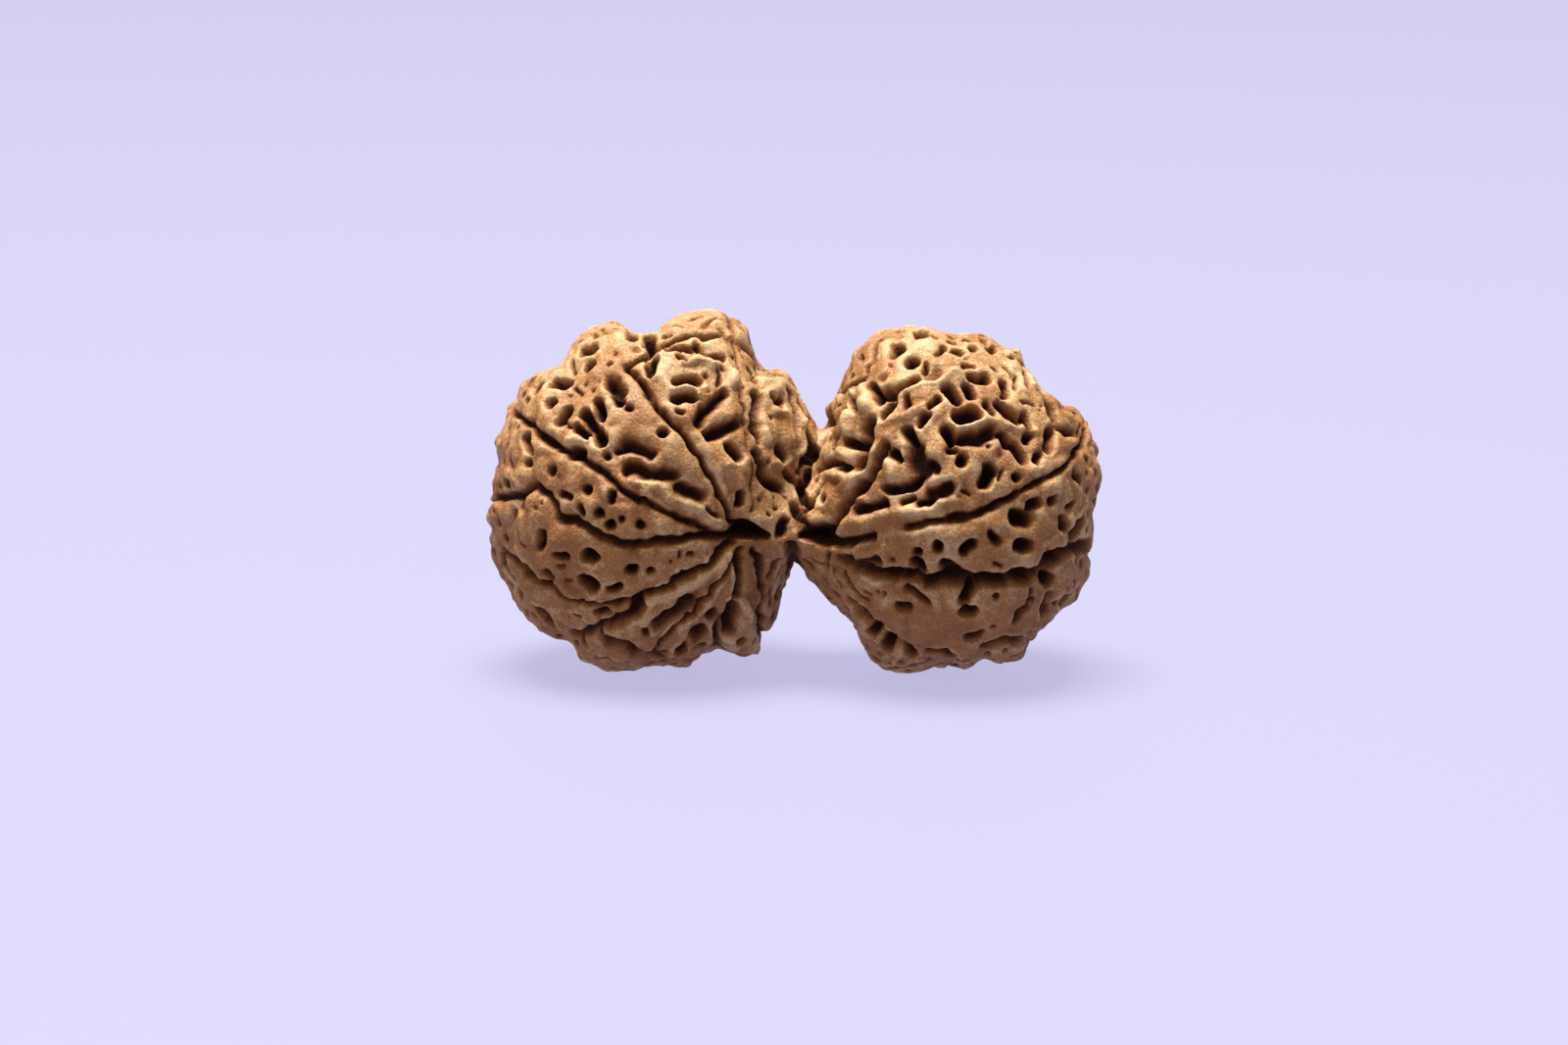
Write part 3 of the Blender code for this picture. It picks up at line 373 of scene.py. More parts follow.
RIGHT_PITS = of_kind(
    CAVE,
    (6.0, (937, 335), (940, 341)), (6.0, (916, 351), (914, 359)), (8.0, (929, 368)), (7.0, (978, 357)),
    (5.0, (993, 383), (1006, 385)), (5.0, (988, 395), (991, 401)), (4.0, (1026, 390), (1028, 398)),
    (3.5, (1027, 401)), (4.5, (908, 410), (904, 418), (902, 424)), (4.5, (1024, 444), (1028, 452)),
    (4.0, (1050, 442), (1048, 447)), (5.0, (1074, 440), (1071, 455)), (4.0, (1061, 463), (1060, 469)),
    (4.0, (984, 465), (982, 471)), (3.0, (946, 423), (939, 432)), (3.5, (1013, 419), (1008, 412)),
    (3.5, (1040, 486)), (4.0, (1052, 517), (1060, 515)), (4.5, (1085, 531), (1086, 539)),
    (4.5, (993, 556), (987, 561)), (4.5, (1100, 484), (1104, 492)), (3.8, (936, 562)), (5.0, (957, 557)),
    (4.5, (917, 622), (925, 621)), (3.0, (1096, 462), (1105, 457)),
) + of_kind(
    PIT,
    (5.0, (992, 355)), (3.0, (1010, 359), (1015, 355)), (3.5, (1016, 376)), (3.0, (925, 407), (927, 414)),
    (4.0, (1046, 424), (1049, 433)), (4.0, (1012, 547), (1018, 552)),
    (4.0, (876, 575), (885, 575), (894, 573)), (3.5, (1051, 612)), (7.0, (990, 648), (997, 646)),
    (4.5, (982, 674), (997, 675)),
) + of_kind(
    DENT,
    (5.0, (946, 383), (957, 379)),
)
LEFT_TRACED = LEFT_FURROWS + LEFT_VALLEYS + LEFT_PITS
RIGHT_TRACED = RIGHT_FURROWS + RIGHT_VALLEYS + RIGHT_PITS

# Small hollows that the solid leaves out
LEFT_SMALL = of_kind(
    NICK,
    (2.5, (621, 373)), (1.6, (628, 361)), (1.6, (583, 365), (585, 381)), (2.0, (577, 432), (581, 436)),
    (1.5, (624, 433)), (1.5, (643, 373)), (1.2, (657, 388), (660, 398)), (1.8, (658, 367), (664, 370)),
    (2.0, (737, 377)), (2.5, (690, 419), (696, 422)), (1.8, (720, 386)), (1.8, (722, 400)),
    (1.8, (715, 390)), (2.2, (756, 356)), (1.8, (760, 366)), (1.6, (764, 361)), (2.0, (748, 366)),
    (2.0, (704, 324), (714, 320)), (2.0, (718, 332), (731, 326)), (2.0, (689, 330), (696, 334)),
    (1.6, (735, 335), (738, 341)), (1.6, (676, 342), (684, 340)), (1.6, (612, 334), (618, 339)),
    (1.6, (604, 340), (609, 345)), (1.6, (547, 518)), (1.4, (552, 514)), (2.4, (545, 492)),
    (1.4, (571, 486)), (2.0, (720, 520), (730, 524)), (1.6, (704, 566), (708, 567)),
    (1.6, (695, 561), (692, 567)), (1.4, (684, 574)), (1.6, (616, 618)), (2.2, (609, 636)),
    (1.8, (690, 640), (685, 648)), (2.2, (800, 508)), (1.6, (786, 427)), (1.6, (568, 579), (575, 578)),
    (1.6, (531, 553), (535, 556)), (1.4, (577, 593), (583, 592)), (2.0, (586, 395), (592, 402)),
    (1.6, (596, 389)), (1.6, (604, 396)), (1.6, (580, 402)), (1.6, (611, 389)), (1.6, (783, 470)),
    (1.4, (779, 484)), (1.6, (788, 508)), (1.6, (776, 510)), (1.8, (782, 525)), (1.8, (792, 518)),
    (1.8, (797, 571)),
) + of_kind(
    CAVE,
    (4.0, (641, 336), (645, 347)), (3.5, (677, 667)), (3.0, (775, 641)), (2.5, (533, 503), (535, 516)),
) + of_kind(
    DENT,
    (4.0, (650, 355)),
) + of_kind(
    CRACK,
    (1.2, (638, 376), (646, 380), (653, 382)), (2.0, (731, 376), (733, 383), (731, 396)),
    (2.2, (810, 440), (811, 455)), (1.5, (677, 655), (668, 662), (662, 669)),
) + of_kind(
    PIT,
    (2.2, (744, 324), (747, 335)), (2.5, (766, 378), (772, 390)), (2.5, (527, 437)), (2.8, (635, 529)),
    (2.6, (590, 518), (593, 524)), (2.5, (515, 548)), (2.6, (618, 464)), (2.6, (630, 459), (641, 456)),
    (2.5, (818, 482)), (3.0, (664, 583)), (2.6, (659, 642), (660, 647)), (2.4, (703, 629), (709, 626)),
    (2.5, (793, 572), (787, 586)), (2.0, (520, 468), (522, 476)),
)
RIGHT_SMALL = of_kind(
    CRACK,
    (1.5, (848, 582), (852, 590), (855, 597)), (1.8, (862, 586), (866, 596), (873, 605), (883, 613)),
    (1.5, (846, 565), (844, 575), (840, 580)), (1.6, (854, 569), (861, 581), (863, 590)),
) + of_kind(
    PIT,
    (3.0, (945, 370), (943, 377)), (3.0, (963, 354), (957, 360)), (2.4, (1002, 346), (1005, 353)),
    (2.6, (985, 372), (991, 373)), (3.0, (950, 414), (958, 406)), (2.5, (968, 456), (978, 459)),
    (2.5, (920, 513), (932, 509)), (2.6, (1107, 530)), (2.8, (1016, 610)), (2.4, (856, 395), (852, 406)),
    (2.5, (826, 572), (834, 576)),
) + of_kind(
    NICK,
    (1.0, (986, 365)), (1.0, (920, 341)), (1.4, (907, 372)), (1.3, (1062, 414)), (1.3, (1060, 419)),
    (1.4, (1083, 416)), (1.8, (1043, 411), (1055, 414)), (1.8, (906, 519)), (2.2, (1089, 517), (1096, 514)),
    (1.8, (1069, 560)), (2.4, (1111, 483)), (2.4, (909, 572)), (1.6, (893, 604)),
    (1.6, (900, 606), (903, 604)), (2.4, (1014, 639)), (2.4, (867, 378), (863, 387)),
    (2.2, (875, 362), (873, 370)), (1.5, (878, 360), (881, 366)), (1.8, (1010, 455)),
    (1.6, (1024, 480), (1020, 489)), (1.6, (990, 504), (984, 500)), (1.5, (950, 341), (956, 345)),
    (1.8, (1028, 374), (1034, 383)), (1.6, (1037, 384), (1037, 396)), (2.0, (1046, 381), (1047, 397)),
    (1.8, (1072, 405), (1079, 409)), (1.8, (1106, 432), (1104, 440)), (2.0, (1050, 600), (1052, 605)),
    (1.6, (1014, 574), (1020, 577)), (1.4, (880, 604), (886, 606)), (1.6, (1080, 620), (1072, 628)),
    (1.5, (862, 626), (868, 633)),
) + of_kind(
    DENT,
    (3.5, (899, 384)), (3.0, (1021, 463)),
) + of_kind(
    CAVE,
    (2.8, (1073, 512), (1077, 509)), (2.4, (839, 510), (842, 513)), (3.0, (880, 493), (874, 500)),
)

# Knobs, ridges and thin rims that stand up, as strokes too
RAISED = of_kind(
    KNOB,
    (9.0, (880, 396), (884, 413)), (5.0, (873, 402)), (9.0, (869, 424), (866, 439)),
    (8.0, (856, 463), (872, 465)), (7.0, (848, 482), (862, 487)), (7.0, (924, 454), (924, 461)),
    (9.0, (907, 473), (909, 482)), (7.0, (951, 487), (953, 494)), (5.0, (759, 612), (763, 628)),
    (4.5, (647, 484)), (4.5, (663, 485)), (8.0, (748, 382), (747, 392)),
    (6.0, (697, 371), (712, 366), (728, 373)), (4.0, (711, 404)), (6.0, (841, 443), (840, 452)),
) + of_kind(
    RIDGE,
    (6.5, (960, 490), (972, 489), (979, 498), (974, 508)),
    (10.4, (905, 448), (895, 461), (886, 476), (870, 491), (856, 500), (846, 508)),
    (7.8, (870, 531), (885, 533), (905, 527), (925, 522), (945, 519), (962, 512)),
    (6.5, (850, 546), (856, 537), (868, 530)),
    (6.5, (900, 405), (915, 402), (927, 397), (942, 390), (960, 386), (975, 378)),
    (6.5, (898, 432), (910, 426), (926, 422), (945, 415)),
    (7.8, (965, 406), (958, 416), (945, 429), (932, 440)), (10.4, (1034, 362)),
    (7.8, (1049, 380), (1051, 394)), (9.1, (1092, 424)),
    (6.5, (975, 431), (985, 435), (997, 430), (1003, 421)),
    (6.5, (1003, 421), (1013, 427), (1026, 432), (1041, 434), (1057, 437)), (7.8, (1055, 470), (1056, 480)),
    (6.5, (661, 354)), (6.5, (783, 440), (784, 448)), (6.5, (745, 566), (751, 588), (750, 604), (744, 616)),
    (5.9, (740, 577), (725, 604), (712, 619), (695, 634), (680, 650), (664, 667)),
    (5.9, (740, 588), (716, 622), (700, 640), (694, 655), (684, 670)),
    (7.8, (660, 618), (688, 606), (715, 592), (735, 578)),
    (6.5, (580, 450), (592, 448), (603, 444), (606, 456)),
    (7.8, (712, 445), (722, 465), (733, 495), (742, 528)), (6.5, (645, 486), (655, 491), (670, 490)),
    (6.5, (656, 505), (680, 519)), (6.5, (682, 505), (705, 517), (735, 533)),
    (6.5, (684, 397), (700, 396), (716, 393)), (5.9, (710, 345), (710, 356)),
    (5.9, (719, 352), (726, 348), (735, 345), (742, 342)), (5.9, (668, 358), (676, 366), (685, 372)),
    (5.9, (670, 384), (685, 394)), (6.5, (776, 386), (790, 391), (801, 385)),
    (6.5, (781, 401), (792, 395), (804, 387)),
    (6.5, (803, 425), (807, 440), (808, 455), (812, 468), (818, 482)),
    (6.5, (788, 420), (800, 421), (805, 432)), (5.9, (820, 432), (822, 450), (819, 463)),
    (5.9, (788, 470), (797, 475), (806, 470)), (6.5, (857, 402), (854, 420), (850, 435)),
    (5.2, (836, 478), (830, 490), (824, 503)), (5.2, (834, 508), (834, 516), (842, 520), (847, 511)),
) + of_kind(
    RIM,
    (4.8, (850, 560), (862, 562), (876, 557), (900, 548), (925, 543), (960, 538)),
    (3.6, (985, 350), (986, 362)), (3.6, (1020, 362), (1028, 370), (1037, 376)),
    (3.6, (1041, 378), (1042, 390), (1045, 400)),
    (4.2, (1106, 500), (1108, 514), (1103, 525), (1095, 533), (1086, 542), (1074, 549), (1065, 557)),
    (4.2, (1112, 525), (1108, 540), (1100, 550), (1098, 572), (1098, 592), (1085, 602), (1078, 612),
        (1080, 620)),
    (4.2, (1064, 605), (1061, 625), (1055, 638), (1047, 646), (1024, 647), (1012, 651), (1002, 658)),
    (4.2, (1020, 665), (1035, 660), (1047, 656)),
    (4.2, (965, 663), (975, 668), (985, 670), (1000, 672), (1013, 668), (1020, 660)),
    (4.2, (868, 608), (880, 618), (892, 630), (903, 641), (910, 653), (922, 652), (932, 656), (938, 667),
        (950, 670), (958, 674)),
    (4.2, (908, 678), (919, 668), (922, 657)), (4.8, (880, 592), (897, 594)),
    (4.2, (795, 572), (790, 590), (780, 605), (770, 612), (755, 612)),
    (4.2, (769, 580), (776, 595), (775, 609)), (4.2, (745, 653), (755, 658), (769, 657), (776, 649)),
    (4.2, (575, 597), (584, 612), (600, 613), (622, 617), (641, 613), (660, 605), (680, 598), (691, 596),
        (694, 590), (690, 583)),
    (4.2, (700, 581), (706, 584), (716, 580), (726, 570), (740, 559)),
    (4.2, (545, 613), (560, 620), (576, 624), (587, 627), (597, 635)),
    (4.2, (564, 622), (568, 635), (576, 645), (590, 648)),
    (4.2, (605, 641), (624, 634), (633, 632), (649, 633), (653, 625)),
    (4.2, (600, 664), (620, 668), (629, 674)), (4.2, (527, 558), (535, 570), (545, 580), (552, 592)),
    (3.6, (520, 470), (525, 490), (534, 499)), (4.2, (590, 366), (600, 366), (610, 362)),
    (4.8, (620, 413), (640, 411)), (4.8, (742, 473), (755, 474), (762, 467)),
)

# The pole holes: the middle of each on the front, and its way in from the wide to the narrow end.
# They get narrower by a share, in steps, and have steep rims.
LEFT_POLE = (765, 545)
RIGHT_POLE = (838, 550)
LEFT_HOLE = [(755, 540), (782, 547)]
RIGHT_HOLE = [(843, 549), (818, 547)]
HOLE_RADIUS = 0.72 * MM
HOLE_TAPER = 0.62
HOLE_STEPS = 9
HOLE_RIM = 0.45 * MM
HOLE_DEPTH = 3.2 * MM

# Hollows sown over the back, the sides, the top and the underside, wherever the skin faces the
# front view by less than the limit. Lengths and spacing are real sizes.
SEED = 7
SMALL_SEED = 8
SOWN_PITS = {
    "limit": 0.15,
    "tries": 9000,
    "spacing": 1.55 * MM,
    "pit": CAVE,
    "valley_share": 0.45,
    "radius": (0.20 * MM, 0.42 * MM),
    "valley_length": (1.0 * MM, 3.2 * MM),
    "pit_length": 1.0 * MM,
}
SMALL_PITS = {
    "limit": 0.40,
    "tries": 16000,
    "spacing": 0.88 * MM,
    "pit": PIT,
    "valley_share": 0.0,
    "radius": (0.08 * MM, 0.22 * MM),
    "valley_length": (1.0 * MM, 1.0 * MM),
    "pit_length": 0.5 * MM,
}
SOWN_BEND = 0.5
SHORTEST_STROKE = 0.4 * MM

# The furrows' way round to the back: points on it, and its sway as (height, waves in radians)
BACK_STEPS = 14
BACK_SWAYS = ((0.05, 9.0), (0.03, 21.0))
BACK_RADIUS = 2.5
LIMB_DISTANCE = 7.0 * MM


def view_rays(places):
    """Directions from the eye through places of the front view."""
    offset = (np.atleast_2d(np.array(places, float)) - VIEW_CENTRE) * UNIT / VIEW_DISTANCE
    return -TOWARD + np.outer(offset[:, 0], RIGHTWARD) - np.outer(offset[:, 1], UPWARD)


def seen_at_depth(place, depth):
    """The point with this Y that the front view shows at a place."""
    ray = view_rays(place)[0]
    return EYE + ray * (depth - EYE[1]) / ray[1]


def blurred_ring(values, width):
    """Values at even steps round a circle, blurred over this many steps."""
    count = len(values)
    steps = np.minimum(np.arange(count), count - np.arange(count))
    kernel = np.exp(-0.5 * (steps / width) ** 2)
    kernel /= kernel.sum()
    return np.real(np.fft.ifft(np.fft.fft(values) * np.fft.fft(kernel)))


class Bead:
    """An ellipsoid whose radius follows the traced outline near the limb of the front view."""

    angles = (np.arange(OUTLINE_STEPS) / OUTLINE_STEPS - 0.5) * 2 * pi

    def __init__(self, middle, semi, outline, foot):
        self.centre = seen_at_depth(middle, PAIR_DEPTH)
        self.semi = semi
        self.foot = foot
        edge = (np.array(outline, float) - middle) * UNIT
        turn = np.arctan2(-edge[:, 1], edge[:, 0])
        order = np.argsort(turn)
        reach = np.hypot(edge[:, 0], edge[:, 1])
        traced = np.interp(self.angles, turn[order], reach[order], period=2 * pi)
        around = np.outer(np.cos(self.angles), RIGHTWARD) + np.outer(np.sin(self.angles), UPWARD)
        share = blurred_ring(traced * np.linalg.norm(around / semi, axis=1), KNOB_WIDTH)
        lobes = blurred_ring(share, LOBE_WIDTH)
        self.lobes = lobes - 1
        self.knobs = share - lobes

    def radius(self, way, knobs):
        """Radius in these unit directions, with the fine knobs scaled by a factor."""
        turn = np.arctan2(way @ UPWARD, way @ RIGHTWARD)
        facing = way @ TOWARD
        lobe = np.interp(turn, self.angles, self.lobes, period=2 * pi)
        knob = np.interp(turn, self.angles, self.knobs, period=2 * pi)
        swell = lobe * np.exp(-((facing / LOBE_REACH) ** 2))
        swell += knobs * knob * np.exp(-((facing / KNOB_REACH) ** 2))
        foot = self.foot * np.exp(-(1 - way @ FOOT_WAY) * 2 / FOOT_REACH**2)
        return (1 + swell) / np.linalg.norm(way / self.semi, axis=1) + foot

    def height(self, points, knobs):
        """Height of these points over the bead's skin, measured along its radii."""
        out = points - self.centre
        far = np.maximum(np.linalg.norm(out, axis=1), TINY)
        return far - self.radius(out / far[:, None], knobs)


LEFT = Bead(LEFT_MIDDLE, LEFT_SEMI, LEFT_OUTLINE, LEFT_FOOT)
RIGHT = Bead(RIGHT_MIDDLE, RIGHT_SEMI, RIGHT_OUTLINE, RIGHT_FOOT)
WEB_CENTRE = seen_at_depth(WEB_MIDDLE, PAIR_DEPTH)


def height_over_pair(points, knobs=1.0):
    """Height over the smooth skin of both beads and the web, blended where they meet."""
    web = np.linalg.norm((points - WEB_CENTRE) / WEB_SEMI, WEB_SQUARENESS, axis=1) - 1
    heights = [LEFT.height(points, knobs), RIGHT.height(points, knobs), web * WEB_SEMI.min()]
    lowest = np.minimum.reduce(heights)
    return lowest - WEB_BLEND * np.log(sum(np.exp((lowest - height) / WEB_BLEND) for height in heights))


def height_slope(points, knobs=1.0, step=SLOPE_STEP):
    """Slope of that height along X, Y and Z."""
    slope = np.empty_like(points)
    for axis in range(3):
        shift = np.zeros(3)
        shift[axis] = step
        rise = height_over_pair(points + shift, knobs) - height_over_pair(points - shift, knobs)
        slope[:, axis] = rise / (2 * step)
    return slope


def onto_skin(points, rounds=SKIN_ROUNDS):
    """Points moved along the slope until they lie on the smooth skin."""
    for _ in range(rounds):
        slope = height_slope(points)
        steepness = np.maximum((slope**2).sum(1), LEAST_STEEPNESS)
        move = np.clip(height_over_pair(points) / steepness, -MM, MM)
        points = points - slope * move[:, None]
    return points


def skin_normals(points):
    """Outward directions of the skin without its fine knobs."""
    slope = height_slope(points, 0.0, NORMAL_STEP)
    return slope / np.linalg.norm(slope, axis=1)[:, None]


def cast(places):
    """Where the front view's rays through these places meet the skin, or pass nearest to it."""
    rays = view_rays(places)
    reaches = np.arange(CAST_START, CAST_END, CAST_STEP)
    heights = np.array([height_over_pair(EYE + rays * reach) for reach in reaches])
    inside = heights < 0
    first = np.where(inside.any(0), inside.argmax(0), heights.argmin(0))
    return onto_skin(EYE + rays * reaches[first][:, None])


def split_long_runs(places):
    """The same path of the front view, with no run longer than LONGEST_RUN."""
    path = [places[0]]
    for start, end in zip(places, places[1:]):
        start, end = np.array(start, float), np.array(end, float)
        count = max(1, ceil(np.hypot(*(end - start)) / LONGEST_RUN))
        path += [tuple(start + (end - start) * step / count) for step in range(1, count + 1)]
    return path


def traced_strokes(features):
    """Traced features as strokes on the skin, each (kind, radius, path) in metres."""
    return [(kind, radius * UNIT, cast(split_long_runs(places))) for kind, radius, *places in features]


def way_round(bead, start, end, turn):
    """A path over the bead's skin between two points, swaying a little to each side."""
    first = (start - bead.centre) / np.linalg.norm(start - bead.centre)
    last = (end - bead.centre) / np.linalg.norm(end - bead.centre)
    angle = acos(np.clip(first @ last, -1, 1))
    side = np.cross(first, last)
    side /= np.linalg.norm(side)
    path = []
    for step in range(BACK_STEPS + 1):
        part = step / BACK_STEPS
        way = (sin((1 - part) * angle) * first + sin(part * angle) * last) / sin(angle)
        drift = sum(height * sin(turn * waves + waves * part) for height, waves in BACK_SWAYS)
        way = way + side * drift * sin(pi * part)
        path.append(bead.centre + way / np.linalg.norm(way) * bead.semi.mean())
    return onto_skin(np.array(path), BACK_SKIN_ROUNDS)


def back_strokes(bead, furrows, pole, rng):
    """Each furrow that runs off the front carries on round the bead to its back pole."""
    behind = onto_skin(cast(pole) * [1, -1, 1])[0]
    strokes = []
    for kind, radius, *places in furrows:
        start = cast(places[-1])[0]
        sideways = (start - bead.centre) - TOWARD * ((start - bead.centre) @ TOWARD)
        if np.linalg.norm(sideways) < LIMB_DISTANCE:
            continue
        path = way_round(bead, start, behind, rng.uniform(0, 2 * pi))
        strokes.append((kind, max(radius, BACK_RADIUS) * UNIT, path))
    return strokes


def pole_push(points):
    """How far the pole holes push these points along Y: in from the front and in from the back."""
    flat = points * [1, 0, 1]
    push = np.zeros(len(points))
    for mouth in (LEFT_HOLE, RIGHT_HOLE):
        wide, narrow = cast(mouth) * [1, 0, 1]
        for part in np.linspace(0, 1, HOLE_STEPS):
            left = 1 - HOLE_TAPER * part
            away = np.linalg.norm(flat - wide - (narrow - wide) * part, axis=1)
            inside = np.clip((HOLE_RADIUS * left - away) / (HOLE_RIM * left), 0, 1)
            push = np.maximum(push, HOLE_DEPTH * left * inside * inside * (3 - 2 * inside))
    return push * -np.tanh(points[:, 1] / MM)


def all_strokes():
    """The solid's own strokes, and then the small ones."""
    rng = np.random.default_rng(SEED)
    strokes = traced_strokes(LEFT_TRACED + WEB_PITS + RIGHT_TRACED)
    strokes += back_strokes(LEFT, LEFT_FURROWS, LEFT_POLE, rng)
    strokes += back_strokes(RIGHT, RIGHT_FURROWS, RIGHT_POLE, rng)
    points = onto_skin(mesh_points(skin_mesh(SEARCH_VOXEL)))
    normals = skin_normals(points)
    strokes += sown_strokes(points, normals, strokes, rng, SOWN_PITS)
    strokes += traced_strokes(LEFT_SMALL + RIGHT_SMALL)
    return strokes + sown_strokes(points, normals, strokes, np.random.default_rng(SMALL_SEED), SMALL_PITS)


def sown_strokes(points, normals, strokes, rng, rule):
    """Seeded pits and short valleys wherever the other strokes leave the far sides bare."""
    taken = np.vstack([path for _, _, path in strokes])
    sown = []
    for index in rng.permutation(len(points))[: rule["tries"]]:
        spot, normal = points[index], normals[index]
        if normal @ TOWARD > rule["limit"] or ((taken - spot) ** 2).sum(1).min() < rule["spacing"] ** 2:
            continue
        is_valley = rng.uniform() < rule["valley_share"]
        radius = rng.uniform(*rule["radius"])
        length = rng.uniform(*rule["valley_length"]) if is_valley else rng.uniform(0, rule["pit_length"])
        along = np.cross(normal, rng.normal(size=3))
        along *= 0.5 * length / np.linalg.norm(along)
        bend = np.cross(normal, along) * rng.uniform(-SOWN_BEND, SOWN_BEND)
        path = spot[None]
        if length > SHORTEST_STROKE:
            path = onto_skin(np.array([spot - along, spot + bend, spot + along]))
        sown.append((VALLEY if is_valley else rule["pit"], radius, path))
        taken = np.vstack([taken, path])
    return sown


def distance_to_run(points, start, end):
    """Distance of these points to a straight run between two others."""
    run = end - start
    out = points - start
    along = np.clip(out @ run / max(run @ run, TINY**2), 0, 1)
    return np.linalg.norm(out - along[:, None] * run, axis=1)


def hollow_profile(distance, radius, kind):
    """Depth at this distance from a stroke: a bowl, a steep rim and a soft shoulder."""
    edge, rim, soft = kind
    inner = max(radius - BOWL_INSET * rim, LEAST_BOWL * radius)
    past = distance - inner
    bowl = -edge * (1 + inner / rim * (1 - (distance / inner) ** 2))
    slope = -edge * np.clip(1 - past / rim, 0, 1) ** 2
    shoulder = -soft * np.clip(1 - np.maximum(past, 0) / SHOULDER, 0, 1) ** 2
    return np.where(past < 0, bowl, slope) + shoulder


class Crowd:
    """Points sorted along X, to find those near a path quickly."""

    def __init__(self, points):
        self.order = np.argsort(points[:, 0])
        self.points = points[self.order]

    def near(self, path, margin):
        """Numbers of the points around a path, and their distances to it."""
        low = path.min(0) - margin
        high = path.max(0) + margin
        first, last = np.searchsorted(self.points[:, 0], (low[0], high[0]))
        part = self.points[first:last]
        close = ((part[:, 1:] > low[1:]) & (part[:, 1:] < high[1:])).all(1)
        part = part[close]
        if not len(part):
            return [], []
        runs = list(zip(path, path[1:])) or [(path[0], path[0])]
        distance = np.minimum.reduce([distance_to_run(part, start, end) for start, end in runs])
        return self.order[first:last][close], distance


def carved_depth(crowd, strokes):
    """Depth of all strokes together, joined without creases."""
    total = np.ones(len(crowd.points))
    for kind, radius, path in strokes:
        near, distance = crowd.near(path, radius + SHOULDER)
        if len(near):
            total[near] += np.exp(-JOINING * hollow_profile(distance, radius, kind)) - 1
    return DEEPEST * np.tanh(-np.log(total) / JOINING / DEEPEST)


def raised_height(crowd, raised):
    """Height of the knobs, ridges and rims."""
    total = np.zeros(len(crowd.points))
    for (height, roundness), radius, path in raised:
        near, distance = crowd.near(path, radius)
        if len(near):
            dome = np.clip(1 - (distance / radius) ** 2, 0, 1) ** roundness
            total[near] = np.maximum(total[near], height * dome)
    return total


def smooth_step(part):
    """A fifth-degree step from 0 to 1, level at both ends."""
    return part**3 * (part * (part * 6 - 15) + 10)


def noise(points, wavelength, seed):
    """Smooth noise between -1 and 1 with about this wavelength."""
    table = np.random.default_rng(seed).uniform(-1, 1, (LATTICE,) * 3)
    spot = points / wavelength - FIRST_CELL
    low = np.floor(spot).astype(int)
    part = smooth_step(spot - low)
    total = np.zeros(len(points))
    for corner in np.ndindex(2, 2, 2):
        weight = np.where(corner, part, 1 - part).prod(1)
        total += weight * table[tuple(((low + corner) % LATTICE).T)]
    return total


def wander(points, distance, wavelength, seed):
    """Smooth shifts of these points, up to about this distance along each axis."""
    return distance * np.stack([noise(points, wavelength, seed + axis) for axis in range(3)], 1)


def add_object(name, data):
    item = bpy.data.objects.new(name, data)
    bpy.context.scene.collection.objects.link(item)
    return item


def modified(mesh, name, kind, **settings):
    """What one modifier makes of a mesh, in place of it."""
    item = add_object(name, mesh)
    modifier = item.modifiers.new(name, kind)
    for setting, value in settings.items():
        setattr(modifier, setting, value)
    made = bpy.data.meshes.new_from_object(item.evaluated_get(bpy.context.evaluated_depsgraph_get()))
    bpy.data.objects.remove(item)
    bpy.data.meshes.remove(mesh)
    return made


def mesh_points(mesh):
    flat = np.empty(len(mesh.vertices) * 3)
    mesh.vertices.foreach_get("co", flat)
    return flat.reshape(-1, 3)


def skin_mesh(voxel):
    """One even, closed mesh close to the skin, from three ellipsoids that overlap."""
    shape = bmesh.new()
    guides = ((LEFT.centre, LEFT.semi), (RIGHT.centre, RIGHT.semi), (WEB_CENTRE, WEB_GUIDE_SEMI))
    for centre, semi in guides:
        made = bmesh.ops.create_icosphere(shape, subdivisions=GUIDE_SUBDIVISIONS, radius=1.0)
        for vertex in made["verts"]:
            vertex.co = centre + np.array(vertex.co) * semi
    mesh = bpy.data.meshes.new("skin_guide")
    shape.to_mesh(mesh)
    shape.free()
    return modified(mesh, "even_skin", "REMESH", mode="VOXEL", voxel_size=voxel)


def relief(points):
    """Height of the real surface over the smooth skin, and the depth of its hollows."""
    fine = wander(points, *FINE_WANDER)
    crowd = Crowd(points + wander(points, *WANDER) + fine)
    depth = carved_depth(crowd, all_strokes())
    facing = skin_normals(points) @ TOWARD
    depth *= 1 - LIMB_FADE * np.exp(-((facing / LIMB_BAND) ** 2))
    depth += raised_height(crowd, traced_strokes(RAISED))
    height = depth.copy()
    for turn, (swell, length) in enumerate(SWELLS):
        height += swell * noise(points, length, SWELL_SEED + turn)
    pillow, length, softness, seed = PILLOWS
    lumps = np.hypot(noise(points + fine, length, seed), softness)
    height += pillow * (lumps - lumps.mean())
    deep = np.clip(-depth / HOLLOW_DEPTH, 0, 1)
    for turn, (crest, hollow, length) in enumerate(BUMPS):
        height += (crest + (hollow - crest) * deep) * noise(points, length, BUMP_SEED + turn)
    return height, depth


def blurred_over(mesh, values, rounds):
    """Values of the mesh's points, averaged with their neighbours' this many times."""
    edges = np.empty(len(mesh.edges) * 2, int)
    mesh.edges.foreach_get("vertices", edges)
    first, second = edges.reshape(-1, 2).T
    count = len(values)
    share = np.bincount(first, minlength=count) + np.bincount(second, minlength=count)
    for _ in range(rounds):
        around = np.bincount(first, values[second], count) + np.bincount(second, values[first], count)
        values = 0.5 * values + 0.5 * around / share
    return values


def set_point_values(mesh, name, values):
    attribute = mesh.attributes.new(name, "FLOAT", "POINT")
    attribute.data.foreach_set("value", values)


